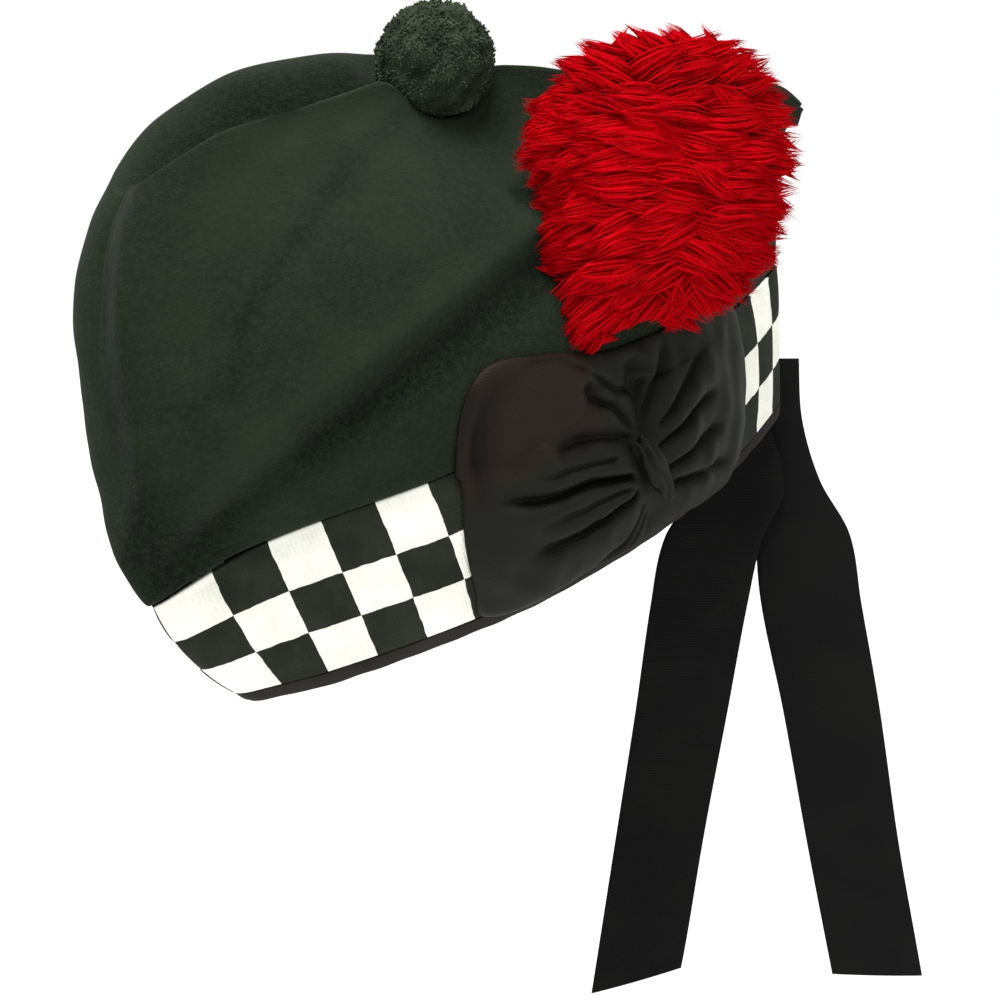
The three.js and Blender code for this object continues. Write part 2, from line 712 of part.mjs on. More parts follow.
// ---- ribbon tails: flat strips hung in an upright plane of the group's own frame
function ribbonTail(name) {
  const rows = 17;
  const across = 3;
  const backward = new THREE.Vector3(-Math.cos(TAIL_TURN), Math.sin(TAIL_TURN), 0);
  const outside = new THREE.Vector3(Math.sin(TAIL_TURN), Math.cos(TAIL_TURN), 0);
  const seam = new THREE.Vector3(-BACK_SEAM * Math.cos(PITCH), 0, 0);
  const table = TAILS[name].map((row) => ({ ...row, at: -row.z }));
  const { top, cut } = TAIL_ENDS[name];
  const first = table[0].at;
  const last = table.at(-1).at;
  const point = (i, j, face) => {
    const drop = first + ((last - first) * i) / rows;
    const t = j / across;
    const front = along(table, "front", drop);
    const breadth = along(table, "back", drop) - front;
    const wave =
      0.9 * Math.sin(drop / 23 + 1.2 * t) + 1.1 * Math.sin(Math.PI * t) * smooth(-20, 60, drop);
    const slant = t * (cut * (i / rows) ** 6 + top * (1 - i / rows) ** 6);
    return seam
      .clone()
      .addScaledVector(backward, front + breadth * t)
      .addScaledVector(outside, along(table, "off", drop) + wave + (face * RIBBON) / 2)
      .setZ(slant - drop);
  };
  const ring = (i) => {
    const edges = Array.from({ length: across + 1 }, (_, j) => j);
    return [...edges.map((j) => point(i, j, 1)), ...edges.reverse().map((j) => point(i, j, -1))];
  };
  const rings = Array.from({ length: rows + 1 }, (_, i) => ring(i));
  // each end is closed by a row of its own two faces drawn to their middle line
  const closed = (row) =>
    row.map((p, j) => p.clone().add(row[row.length - 1 - j]).multiplyScalar(0.5));
  return loops([closed(rings[0]), ...rings, closed(rings.at(-1))], false);
}

// ---- the pieces
const root = new THREE.Group();
root.name = "glengarry_cap";
const pitched = new THREE.Group();
pitched.rotation.y = PITCH;
root.add(pitched);

function add(name, geo, color, parent = pitched) {
  const g = outward(geo);
  g.computeVertexNormals();
  const material = new THREE.MeshStandardMaterial({ color, roughness: 0.9, flatShading: true });
  const mesh = new THREE.Mesh(g, material);
  mesh.name = name;
  parent.add(mesh);
}

const cap = solid(filled(0.4));
const underHackle = cap.add(solid(cockade(0.5)));
add("crown", crown(), 0x2d392b);
add("diced_band", bandShell(), 0xf2f2ea);
add("rim_binding", binding(), 0x1c1816);
add("toorie", whole(solid(toorie()).subtract(cap)), 0x34402f);
add("cockade", whole(solid(cockade(0)).subtract(cap)), 0x2a2624);
add("cockade_knot", whole(solid(knot()).subtract(solid(cockade(0.35)))), 0x1d1b1a);
add("hackle", whole(hackle().subtract(underHackle)), 0xa30010);
for (const name of Object.keys(TAILS)) add(name, ribbonTail(name), 0x141412, root);

export default root;
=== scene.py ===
# %% [markdown]
# # A glengarry cap, dressed
#
# A glengarry is a boat-shaped wool cap. Its felt crown folds into a lengthwise crease, a knitted band
# of dice runs round its foot, and a tape binds the rim. A clipped wool ball, the toorie, sits in the
# crease. A gathered silk cockade with a feather hackle stands on the left, and two ribbons hang from
# the back seam.
#
# The solid model is loaded first as a fixed frame.

# %% Load the frame
import math

import bpy
import numpy as np
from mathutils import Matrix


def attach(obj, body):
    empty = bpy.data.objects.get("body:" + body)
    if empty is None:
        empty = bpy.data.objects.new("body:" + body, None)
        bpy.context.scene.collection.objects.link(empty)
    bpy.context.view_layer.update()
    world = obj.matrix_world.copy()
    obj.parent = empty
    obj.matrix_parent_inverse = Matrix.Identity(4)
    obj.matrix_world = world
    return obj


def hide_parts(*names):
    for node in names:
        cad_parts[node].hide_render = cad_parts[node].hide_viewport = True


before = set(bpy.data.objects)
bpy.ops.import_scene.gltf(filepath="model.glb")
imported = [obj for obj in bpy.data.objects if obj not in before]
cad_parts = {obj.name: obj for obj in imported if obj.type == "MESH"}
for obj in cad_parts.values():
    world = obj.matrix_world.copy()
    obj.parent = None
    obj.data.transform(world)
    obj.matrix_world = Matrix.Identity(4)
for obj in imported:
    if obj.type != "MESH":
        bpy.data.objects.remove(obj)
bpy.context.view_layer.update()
MM = 0.001
print("nodes:", ", ".join(sorted(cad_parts)))

# %% [markdown]
# ## Two tools: grids into meshes, and shader maths as sums
#
# Every new piece is worked out on a grid, all its points at once. A UV map may carry the cloth's own
# two measures, so that a weave follows the cloth, and a value called shade may say how pale or deep
# each point is painted: mostly painted shade and painted highlight, with some random tone.
#
# A finish is easier to read as a sum than as boxes and wires. A small class wraps a socket of a shader
# and gives it Python's operators: each + or * adds one Math node.

# %% Grids
ROOT_BODY = "root"


def stacked(*values):
    """Arrays of one shape, or that spread to one, as the last axis of a single array."""
    return np.stack(np.broadcast_arrays(*values), -1)


def sums(v):
    """The running sums of v, from 0."""
    return np.concatenate([[0], np.cumsum(v)])


def unit(v):
    """Vectors along the last axis, each divided by its own length."""
    return v / np.maximum(np.linalg.norm(v, axis=-1, keepdims=True), 1e-9)


def cells(rows, cols, close_rows=False, close_cols=False):
    """The quads of a grid of points, row by row, joined round where a direction closes."""
    r, c = np.meshgrid(
        np.arange(rows if close_rows else rows - 1),
        np.arange(cols if close_cols else cols - 1),
        indexing="ij",
    )
    r2, c2 = (r + 1) % rows, (c + 1) % cols
    return stacked(r * cols + c, r * cols + c2, r2 * cols + c2, r2 * cols + c).reshape(-1, 4)


def volume(points, quads):
    """Signed volume of a closed mesh: the sum of a . (b x c) / 6 over its triangles."""
    a, b, c, d = (points[quads[:, k]] for k in range(4))
    return float(np.sum(a * np.cross(b, c)) + np.sum(a * np.cross(c, d))) / 6


def piece(name, points, faces, replaces, uv=None, shade=None):
    """Makes a smooth mesh object of points in metres and faces of four corners, riding on the cap.

    uv holds two values a point, shade one. Points within a micrometre of each other are joined,
    while the map keeps its own cut there. Faces that this closes up go, and a mesh that faces in
    is turned.
    """
    points = points.reshape(-1, 3)
    corner_uv = None if uv is None else uv.reshape(-1, 2)[faces]
    keep, same = np.unique(np.round(points, 6), axis=0, return_index=True, return_inverse=True)[1:]
    points, faces = points[keep], same.reshape(-1)[faces]
    # a corner is kept where it differs from the one before it
    kept = faces != np.roll(faces, 1, axis=1)
    sized = (kept.sum(1) >= 3) & (faces[:, 0] != faces[:, 2]) & (faces[:, 1] != faces[:, 3])
    order = slice(None, None, -1 if volume(points, faces[sized]) < 0 else 1)
    faces, kept = faces[sized][:, order], kept[sized][:, order]
    corners = kept.sum(1)
    loops = faces.reshape(-1)[kept.reshape(-1)]
    mesh = bpy.data.meshes.new(name)
    mesh.vertices.add(len(points))
    mesh.vertices.foreach_set("co", np.ascontiguousarray(points, np.float32).reshape(-1))
    mesh.loops.add(len(loops))
    mesh.loops.foreach_set("vertex_index", loops.astype(np.int32))
    mesh.polygons.add(len(faces))
    mesh.polygons.foreach_set("loop_start", sums(corners)[:-1].astype(np.int32))
    mesh.polygons.foreach_set("use_smooth", np.ones(len(faces), bool))
    mesh.update(calc_edges=True)
    if uv is not None:
        layer = mesh.uv_layers.new(name="cut")
        corner_uv = corner_uv[sized][:, order][kept]
        layer.data.foreach_set("uv", corner_uv.astype(np.float32).reshape(-1))
    if shade is not None:
        pale = mesh.attributes.new("shade", "FLOAT", "POINT")
        pale.data.foreach_set("value", shade.reshape(-1)[keep].astype(np.float32))
    mesh.validate()
    made = bpy.data.objects.new(name, mesh)
    bpy.context.collection.objects.link(made)
    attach(made, ROOT_BODY)
    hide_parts(replaces)
    print(f"{name}: {len(points)} points, {int((corners - 2).sum())} triangles")
    return made


# %% Shader maths
class Value:
    """A socket of a shader. Sums of values become Math nodes, so a finish reads as a formula."""

    def __init__(self, nodes, socket):
        self.nodes = nodes
        self.socket = socket

    def math(self, operation, *others):
        return self.nodes.add("ShaderNodeMath", {"operation": operation}, [self, *others])

    def __add__(self, other):
        return self.math("ADD", other)

    def __sub__(self, other):
        return self.math("SUBTRACT", other)

    def __mul__(self, other):
        return self.math("MULTIPLY", other)

    def __abs__(self):
        return self.math("ABSOLUTE")

    def ribs(self, length):
        """Waves from 0 to 1, one to each length of the value: 0.5 + 0.5 sin(2 pi value / length)."""
        return (self * (2 * math.pi / length)).math("SINE") * 0.5 + 0.5

    def step(self, low, high, kind="SMOOTHSTEP", start=0.0, end=1.0):
        """start up to low, end from high on, smooth between them."""
        ranged = {"Value": self, "From Min": low, "From Max": high, "To Min": start, "To Max": end}
        return self.nodes.add("ShaderNodeMapRange", {"interpolation_type": kind}, ranged)


class Nodes:
    """A tree of shader nodes, built up node by node."""

    def __init__(self, tree):
        self.tree = tree

    def add(self, kind, settings=None, inputs=(), output=0):
        """Adds a node: first its settings, then the values or links of its sockets."""
        made = self.tree.nodes.new(kind)
        for name, value in (settings or {}).items():
            setattr(made, name, value)
        for key, value in inputs.items() if isinstance(inputs, dict) else enumerate(inputs):
            if isinstance(value, Value):
                self.tree.links.new(value.socket, made.inputs[key])
            else:
                made.inputs[key].default_value = value
        return Value(self, made.outputs[output])


class Paint(Nodes):
    """One material: how rough and how shiny, and other sockets of its surface, _ for each space."""

    def __init__(self, name, rough, shine=0.5, **constants):
        self.material = bpy.data.materials.new(name)
        self.material.use_nodes = True
        super().__init__(self.material.node_tree)
        self.surface = self.tree.nodes["Principled BSDF"].inputs
        constants.update(Roughness=rough, Specular_IOR_Level=shine)
        for socket, value in constants.items():
            self.surface[socket.replace("_", " ")].default_value = value

    def place(self):
        """Where on the object, in metres."""
        return self.add("ShaderNodeTexCoord", output="Object")

    def cut(self):
        """The two values of the piece's own UV map."""
        uv = self.add("ShaderNodeUVMap", {"uv_map": "cut"})
        split = self.add("ShaderNodeSeparateXYZ", inputs=[uv])
        return split, Value(self, split.socket.node.outputs["Y"])

    def shade(self):
        """The value that each point of the mesh carries."""
        return self.add("ShaderNodeAttribute", {"attribute_name": "shade"}, output="Fac")

    def stretched(self, scale):
        """Object coordinates in metres times a scale for each axis."""
        return self.add("ShaderNodeVectorMath", {"operation": "MULTIPLY"}, [self.place(), scale])

    def noise(self, scale, detail=3.0, rough=0.55, at=None):
        """Cloudy noise from 0 to 1, its grain about 1 / scale metres."""
        inputs = {"Vector": at or self.place(), "Scale": scale, "Detail": detail, "Roughness": rough}
        return self.add("ShaderNodeTexNoise", {"noise_dimensions": "3D"}, inputs)

    def mixed(self, share, a, b):
        """Colour a where share is 0, colour b where it is 1."""
        a, b = (colour if isinstance(colour, Value) else (*colour, 1) for colour in (a, b))
        return self.add("ShaderNodeMix", {"data_type": "RGBA"}, {0: share, 6: a, 7: b}, output=2)

    def finish(self, colour, height=None, depth=0.0):
        """The material, with that colour, and height from 0 to 1 as depth metres of relief."""
        self.tree.links.new(colour.socket, self.surface["Base Color"])
        if height is not None:
            inputs = {"Height": height, "Distance": depth, "Strength": 1.0}
            relief = self.add("ShaderNodeBump", inputs=inputs)
            self.tree.links.new(relief.socket, self.surface["Normal"])
        return self.material


def tone(red, green, blue):
    """A colour as the eye reads it, 0 to 255 each, as the light that a shader needs."""
    c = np.array([red, green, blue]) / 255
    return tuple(np.where(c <= 0.04045, c / 12.92, ((c + 0.055) / 1.055) ** 2.4).tolist())

# %% [markdown]
# ## Camera, light and floor
#
# A long lens about a metre away keeps the cap's proportions natural. The lens is shifted a little
# instead of turned, which keeps upright things upright. A bright horizon makes the plain white
# surround, a softer sky fills the shadows, one large lamp from the upper left models the forms, and a
# weaker one behind the cap lights its upper edges. The floor is far below, as the cap is held up
# where a head would be.

# %% Camera
def aimed(name, data, azimuth, elevation, distance):
    """A camera or lamp on a sphere round the cap, facing its middle.

    place = distance * (sin a cos e, cos a cos e, sin e)
    """
    made = bpy.data.objects.new(name, data)
    bpy.context.collection.objects.link(made)
    a, e = math.radians(azimuth), math.radians(elevation)
    made.location = (
        distance * math.sin(a) * math.cos(e),
        distance * math.cos(a) * math.cos(e),
        distance * math.sin(e),
    )
    made.rotation_euler = (math.pi / 2 - e, 0, math.pi - a)
    return made


lens = bpy.data.cameras.new("camera")
lens.sensor_width = 36
lens.lens = 116.5
lens.shift_x = -0.03
lens.shift_y = 0.062
scene = bpy.context.scene
scene.camera = aimed("camera", lens, azimuth=36, elevation=4.5, distance=1.1)
scene.view_settings.view_transform = "Standard"
scene.view_settings.look = "None"
print("camera at, m:", [round(v, 3) for v in scene.camera.location])

# %% Light, surround and floor
def lamp(name, size, power, **place):
    """A square area lamp, its size in metres and its power in watts."""
    light = bpy.data.lights.new(name, "AREA")
    light.size = size
    light.energy = power
    aimed(name, light, **place)


def surround():
    """A white horizon that softens overhead and underneath: radiance = 1 - 0.5 smooth(|z|)."""
    world = bpy.data.worlds.new("studio")
    scene.world = world
    world.use_nodes = True
    nodes = Nodes(world.node_tree)
    way = nodes.add("ShaderNodeTexCoord", output="Generated")
    up = nodes.add("ShaderNodeSeparateXYZ", inputs=[way], output="Z")
    light = abs(up).step(0.3, 0.75, start=1.0, end=0.5)
    sky = nodes.tree.nodes["Background"].inputs
    nodes.tree.links.new(light.socket, sky["Strength"])
    sky["Color"].default_value = (1, 1, 1, 1)


def floor(height, half):
    """A square floor of that half width, at that height, in metres."""
    corners = half * np.array([[-1, -1, 0], [1, -1, 0], [1, 1, 0], [-1, 1, 0]]) + [0, 0, height]
    mesh = bpy.data.meshes.new("floor")
    mesh.from_pydata(corners.tolist(), [], [(0, 1, 2, 3)])
    made = bpy.data.objects.new("floor", mesh)
    bpy.context.collection.objects.link(made)
    pale, white = (0.93, 0.93, 0.93, 1), (1, 1, 1, 1)
    paint = Paint("pale_floor", rough=0.9, Base_Color=pale, Emission_Color=white, Emission_Strength=0.6)
    mesh.materials.append(paint.material)


lamp("key", size=0.8, power=40, azimuth=52, elevation=66, distance=1.6)
lamp("rim", size=0.8, power=12, azimuth=215, elevation=55, distance=1.6)
surround()
floor(height=-0.9, half=40)

# %% [markdown]
# ## The cap's surface, in one formula
#
# A hat maker shapes wet felt on a block, so the real crown has no flat panel and no true arc anywhere.
# The block is given here as short tables: the plan of the band, the reach and width of the crown's
# rounds, and the height of its two ridges. A smooth curve through each column fills in what lies
# between. Everything that lies on the cap, such as the dice, the tape and the cockade, then asks the
# same functions for its place, so nothing floats and nothing sinks in.
#
# The cap's own frame is in millimetres: x forward, y to the wearer's left, z up from the rim.

# %% Curves
def columns(names, *rows):
    """A table: {name: array}, with a smooth curve meant through each column against the first."""
    return dict(zip(names.split(), np.array(rows, float).T))


def along(table, name, x):
    """Cubic Hermite curve through the column, its slopes the chords between each row's neighbours.

    value = h00 p + h10 w m0 + h01 q + h11 w m1, at t = (x - x0) / w between rows p and q
    """
    at = next(iter(table.values()))
    p = table[name]
    k = np.arange(len(at))
    before, after = np.maximum(k - 1, 0), np.minimum(k + 1, len(at) - 1)
    slope = (p[after] - p[before]) / (at[after] - at[before])
    i = np.clip(np.searchsorted(at, x, side="right") - 1, 0, len(at) - 2)
    w = at[i + 1] - at[i]
    t = np.clip((x - at[i]) / w, 0, 1)
    return (
        (2 * t**3 - 3 * t**2 + 1) * p[i]
        + (t**3 - 2 * t**2 + t) * w * slope[i]
        + (3 * t**2 - 2 * t**3) * p[i + 1]
        + (t**3 - t**2) * w * slope[i + 1]
    )


def smooth(a, b, x):
    """0 up to a, 1 from b on, and t^2 (3 - 2t) between them."""
    t = np.clip((x - a) / (b - a), 0, 1)
    return t * t * (3 - 2 * t)


def bump(d, w):
    """A bell of height 1: exp(-(d / w)^2)."""
    return np.exp(-((d / w) ** 2))


def axes_of(p):
    """The x, y and z of points along the last axis."""
    return p[..., 0], p[..., 1], p[..., 2]


# %% Sizes, in millimetres
PITCH = math.radians(22.4)
DIE, DICE = 17.86, 16
ARC = DIE * DICE
BINDING, ROW = 5.7, 15.5
BAND_TOP = BINDING + 3 * ROW
BAND_MID = BINDING + 1.5 * ROW
RISE = 116  # from the band's top to the end of the crown's rounds, up the side
FELT, TAPE = 2.2, 1.0
NOSE = 0.035  # how much further the band reaches at its front seam, a share
TOORIE = np.array([-20.0, 12.0, 172.0])
TOORIE_RADIUS = 20.0
print("round the band, mm:", round(2 * ARC, 1), " band height, mm:", round(BAND_TOP, 1))

# %% Tables
PLAN = columns(
    "at heading",
    (0, 89), (0.012, 60), (0.03, 33), (0.1, 30), (0.25, 26), (0.48, 2.5), (0.7, -17), (0.87, -29.5),
    (0.965, -36.5), (0.988, -66), (1, -88),
)
FLARE = columns(
    "at rim_long top_long rim_wide top_wide tall lift",
    (0, -0.106, 0.036, -0.26, -0.03, 0.9, 5.5), (0.12, -0.06, 0.017, -0.255, -0.03, 1.045, 1.2),
    (0.35, -0.105, 0.01, -0.255, -0.03, 1.03, -1.8), (0.5, -0.105, 0.032, -0.225, -0.02, 1.05, -1.3),
    (0.8, -0.089, 0.038, -0.2, 0.03, 1.01, 0.3), (1, -0.065, 0.07, -0.22, 0.05, 1, 3),
)
RIDGE = columns(
    "at height half left_lower crease",
    (0, 101, 7, 0, 4), (0.04, 112, 9, 0, 6), (0.2, 131, 13, 0, 8), (0.38, 150.7, 15, 0, 8),
    (0.47, 163.2, 15, 2, 9), (0.58, 178.7, 16, 8, 12), (0.75, 188.9, 22.2, 13, 18),
    (0.87, 184.9, 27.9, 5, 18), (0.95, 175.7, 32.4, -2, 13), (1, 169.8, 26.9, -3, 6),
)
ROUND = columns(
    "at front back half keel_front keel_back band seam",
    (0, 140.1, -136.5, 52.4, 2, 2, 1, 0), (0.08, 142.8, -138.5, 54, 1.62, 2, 0.8, 0.5),
    (0.18, 144.7, -142, 55.5, 1.11, 1.9, 0.45, 1.5), (0.35, 139.8, -145, 54, 0.95, 1.7, 0.12, 4),
    (0.55, 136.1, -149, 49, 1.12, 1.5, 0, 6), (0.8, 123.8, -156, 40, 0.75, 1.35, 0, 7),
    (0.92, 112.4, -163.5, 34, 0.75, 1.2, 0, 6), (1, 100.5, -171, 29, 0.86, 1.1, 0, 6),
)
FOLD = columns(
    "at brow", (-95, 119), (-13, 116), (35, 108), (82, 97), (103, 89), (121, 80), (136, 70)
)
PINCH = columns(
    "at line",
    (-20, 163), (11, 159), (33, 154), (52, 147), (68, 141), (82, 133), (93, 124), (104, 108),
)
DENT_X, DENT_Z = -15, 124
WIDEST, RIDGE_ENDS = 0.52, 0.62  # the widest place, as a share from the back; how blunt a ridge ends
CREASE_MIDDLE, CREASE_SHARE = -40, 0.97  # the crease is the ridges' length times this, about its middle

# %% The band's wall
def walked(n=800):
    """The band's middle line on the left, walked from the front seam to the back one.

    x = -sum(cos heading) step, y = sum(sin heading) step, then centred and closed on y = 0
    """
    heading = np.radians(along(PLAN, "heading", (np.arange(n) + 0.5) / n))
    x, y = -sums(np.cos(heading)) * ARC / n, sums(np.sin(heading)) * ARC / n
    return x - x[-1] / 2, y - y[-1] * np.arange(n + 1) / n


MIDDLE_X, MIDDLE_Y = walked()


def band(f, h):
    """Point of the band a share f of the way back along the left side, at height h on its wall.

    The plan grows or shrinks with height as a parabola through its rim and top values.
    """
    f, h = np.broadcast_arrays(np.asarray(f, float), np.asarray(h, float))
    share = np.linspace(0, 1, len(MIDDLE_X))
    u = (h - BAND_MID) / (BAND_TOP / 2)

    def part(rim, top):
        a, b = along(FLARE, rim, f), along(FLARE, top, f)
        return (a + b) / 2 * u * u + (b - a) / 2 * u

    z = np.where(h <= BINDING, h, BINDING + (h - BINDING) * along(FLARE, "tall", f))
    return stacked(
        np.interp(f, share, MIDDLE_X) * (1 + part("rim_long", "top_long") + NOSE * bump(f, 0.05)),
        np.interp(f, share, MIDDLE_Y) * (1 + part("rim_wide", "top_wide")),
        z + along(FLARE, "lift", f) * (1 - h / BAND_TOP),
    )


print("rim length, mm:", round(float(band(0, 0)[0] - band(1, 0)[0]), 1))

# %% The crown's rounds
def evened(x, y):
    """The same curve with its points spaced evenly along its length."""
    length = sums(np.hypot(np.diff(x), np.diff(y)))
    want = np.linspace(0, length[-1], len(x))
    return np.interp(want, length, x), np.interp(want, length, y)


def round_plan(s, n=360):
    """One level round of the crown at rise share s, on the left side.

    y = half * sin(a)^keel low down, turning into the ridge's own half width near the top
    """
    r = {name: float(along(ROUND, name, s)) for name in ROUND}
    a = np.pi * np.arange(n + 1) / n
    middle = r["back"] + (r["front"] - r["back"]) * WIDEST
    ahead = np.cos(a) >= 0
    x = middle + np.where(ahead, r["front"] - middle, middle - r["back"]) * np.cos(a)
    share = (x - r["back"]) / (r["front"] - r["back"])
    sine = np.maximum(np.sin(a), 0)
    side = r["half"] * sine ** np.where(ahead, r["keel_front"], r["keel_back"])
    ridge = along(RIDGE, "half", share) * sine**RIDGE_ENDS
    top = smooth(0.55, 1, s)
    x, y = evened(x, side * (1 - top) + ridge * top)
    if r["band"] > 0:
        edge = band(np.arange(n + 1) / n, BAND_TOP)
        reach = (edge[:, 0] - edge[-1, 0]) / (edge[0, 0] - edge[-1, 0])
        x = x * (1 - r["band"]) + (reach * (r["front"] - r["back"]) + r["back"]) * r["band"]
        y = y * (1 - r["band"]) + edge[:, 1] * r["half"] / ROUND["half"][0] * r["band"]
        x, y = evened(x, y)
    return x, y


LEVELS = np.linspace(0, 1, 161)
ROUNDS = np.array([round_plan(s) for s in LEVELS])  # level, x or y, share of the way back


def plan_at(f, s):
    """Plan point between the stored rounds: linear in the level and in the share f."""
    i = np.clip(s, 0, 1) * (len(LEVELS) - 1)
    j = np.clip(f, 0, 1) * (ROUNDS.shape[2] - 1)
    i0, j0 = np.minimum(i.astype(int), len(LEVELS) - 2), np.minimum(j.astype(int), ROUNDS.shape[2] - 2)
    u, v = i - i0, j - j0

    def between(k):
        low = ROUNDS[i0, k, j0] * (1 - v) + ROUNDS[i0, k, j0 + 1] * v
        high = ROUNDS[i0 + 1, k, j0] * (1 - v) + ROUNDS[i0 + 1, k, j0 + 1] * v
        return low * (1 - u) + high * u

    return between(0), between(1)


def crown_side(f, s, left):
    """Point of the crown's side: its plan, lifted by s of the way from the band to the ridge."""
    f, s = np.broadcast_arrays(np.asarray(f, float), np.asarray(s, float))
    x, y = plan_at(f, s)
    front, back = along(ROUND, "front", s), along(ROUND, "back", s)
    share = np.clip((x - back) / (front - back), 0, 1)
    foot = band(f, BAND_TOP)[..., 2]
    lower = np.where(left, along(RIDGE, "left_lower", share) * s * s, 0)
    z = foot + s * (along(RIDGE, "height", share) - lower - foot)
    seam = np.where(share > 0.5, along(ROUND, "seam", s) * bump(y, 11), 0)
    return stacked(x - seam, np.where(left, y, -y), z)


def crown_top(f, t, left):
    """Point between a ridge (t = 0) and the crease (t = 1).

    The felt rolls over the ridge as 1 - cos(90 t) and falls to the crease's own height.
    """
    f, t = np.broadcast_arrays(np.asarray(f, float), np.asarray(t, float))
    x, y, z = axes_of(crown_side(f, np.ones_like(f), left))
    back = ROUND["back"][-1]
    share = np.clip((x - back) / (ROUND["front"][-1] - back), 0, 1)
    ridge = along(RIDGE, "height", share)
    low = ridge - along(RIDGE, "left_lower", share) / 2 - along(RIDGE, "crease", share)
    roll = 1 - np.cos(t * np.pi / 2)
    shorter = (x - CREASE_MIDDLE) * CREASE_SHARE + CREASE_MIDDLE
    return stacked(x * (1 - t) + shorter * t, y * (1 - t), z * (1 - roll) + low * roll)


# %% Wear: the long fold, the dents and the toorie's seat
def worn(p, s):
    """The left side pushed out along the fold's brow and in along its trough, pinch and dent."""
    x, y, z = axes_of(p)
    below = z - along(FOLD, "brow", x)
    fade = smooth(-100, -50, x) * (1 - smooth(112, 140, x))
    out = fade * (2.8 * bump(below, 8) - 3.8 * bump(below + 12, 8) + 1.0 * bump(below + 29, 9))
    pinch = bump(z - along(PINCH, "line", x), 4.5) * smooth(-20, 10, x) * (1 - smooth(90, 104, x))
    out = out - 0.8 * pinch
    out = out - 4.0 * bump(np.hypot(x - DENT_X, z - DENT_Z), 4.5)
    hollow = 2.8 * bump(y - 6, 7) * smooth(60, 100, x) * smooth(0.12, 0.4, s) * (1 - smooth(0.75, 1, s))
    on = smooth(0.02, 0.16, s) * (1 - smooth(0.85, 1, s)) * (y > 0)
    return stacked(x - hollow, y + out * on, z)


def seated(p):
    """The felt under the toorie pressed down to a bowl of the ball's own radius."""
    x, y, z = axes_of(p)
    d = np.hypot(x - TOORIE[0], y - TOORIE[1])
    slack, soft = 0.15, 2.5
    r = TOORIE_RADIUS + slack
    edge = 0.86 * r
    foot = math.sqrt(r * r - edge * edge)
    bowl = TOORIE[2] - np.where(
        d < edge, np.sqrt(np.maximum(r * r - d * d, 0)), foot - (d - edge) * edge / foot
    )
    over = np.clip((z - bowl) / soft, -30, 30)
    return stacked(x, y, np.where(over > -6, z - soft * np.log1p(np.exp(over)), z))


def side(a, h):
    """The left side of the whole cap in one chart: a mm back along the band, h mm up the wall."""
    a, h = np.broadcast_arrays(np.asarray(a, float), np.asarray(h, float))
    s = np.clip((h - BAND_TOP) / RISE, 0, 1)
    low = band(a / ARC, np.minimum(h, BAND_TOP))
    high = worn(crown_side(a / ARC, s, True), s)
    return np.where((h <= BAND_TOP)[..., None], low, high)


def side_normal(a, h, reach=1.5):
    """Outward direction of the side: along the band crossed with up the wall."""
    u = side(a + reach, h) - side(a - reach, h)
    v = side(a, h + reach) - side(a, h - reach)
    return unit(np.cross(u, v))


def set_down(p):
    """Millimetres in the cap's frame to metres in the level frame: turned front-down by PITCH."""
    x, y, z = axes_of(p)
    c, s = math.cos(PITCH), math.sin(PITCH)
    return stacked(x * c + z * s, y, -x * s + z * c) * MM


print("crown's top in the level frame, mm:", np.round(set_down(crown_side(0.25, 1.0, True)) / MM, 1))

# %% [markdown]
# ## The crown
#
# Two felt panels are steamed over a block and meet in a stiff ridge each side of the crease. Felt has
# no weave to show: it scatters light from a matted surface with a faint short nap, and it keeps a
# soft unevenness from the steaming. The slow unevenness is in the mesh, because it bends the outline
# and the highlights; the nap is too fine to mesh and goes into the shader.
#
# The crown is one closed grid of level loops. They climb the outside from the band to the ridges,
# roll over into the crease, and come back underneath, a felt's thickness further in.

# %% Loops round the cap
def waves(p, scale, seed):
    """Smooth noise from about -1 to 1: the mean of sin(k . p / scale + phase) for six seeded k."""
    rng = np.random.default_rng(seed)
    way = rng.normal(size=(6, 3))
    way = way / np.linalg.norm(way, axis=1, keepdims=True) * rng.uniform(0.7, 1.6, (6, 1))
    return np.sin(p @ way.T / scale + rng.uniform(0, 2 * np.pi, 6)).mean(-1) * 1.7


def both_sides(at, shares):
    """A loop made of at(f, True) back along the left side and at(f, False) forward on the right."""
    return np.concatenate([at(shares, True), at(shares[-2:0:-1], False)], axis=0)


def loop_normals(rows):
    """Outward normals of rows of loops: the step round each loop crossed with the step up the rows."""
    about = np.roll(rows, -1, axis=1) - np.roll(rows, 1, axis=1)
    return unit(np.cross(about, np.gradient(rows, axis=0)))


def inset(rows, depth, nose):
    """Rows pushed in along their normals, never over the middle plane, by nose more at the seams."""
    n = loop_normals(rows)
    x, y, z = axes_of(rows - n * depth)
    off = np.abs(rows[..., 1])
    side_of = np.sign(rows[..., 1])
    y = np.where(off < 1e-6, 0, side_of * np.maximum(side_of * y, off * 0.6))
    return stacked(x - np.sign(rows[..., 0]) * bump(off, 6) * nose * np.abs(n[..., 0]), y, z)


def seam_shares(steps):
    """Shares of the way back, closer together at the two seams: t - 0.075 sin(2 pi t)."""
    t = np.linspace(0, 1, steps + 1)
    return t - 0.075 * np.sin(2 * np.pi * t)


# %% Crown
def crown_rows(shares, sides, tops):
    """Loops at side levels 0 to 1 and then from the ridges (0) into the crease (1)."""
    rows = []
    for s in sides:
        wall = both_sides(lambda f, left: crown_side(f, s, left), shares)
        rows.append(worn(wall, s))
    rows += [both_sides(lambda f, left: crown_top(f, t, left), shares) for t in tops]
    rows = seated(np.array(rows))
    last = rows[-1]
    half = len(shares) - 1
    middle = (last[1:half] + last[: half : -1]) / 2
    last[1:half], last[: half : -1] = middle, middle
    return rows


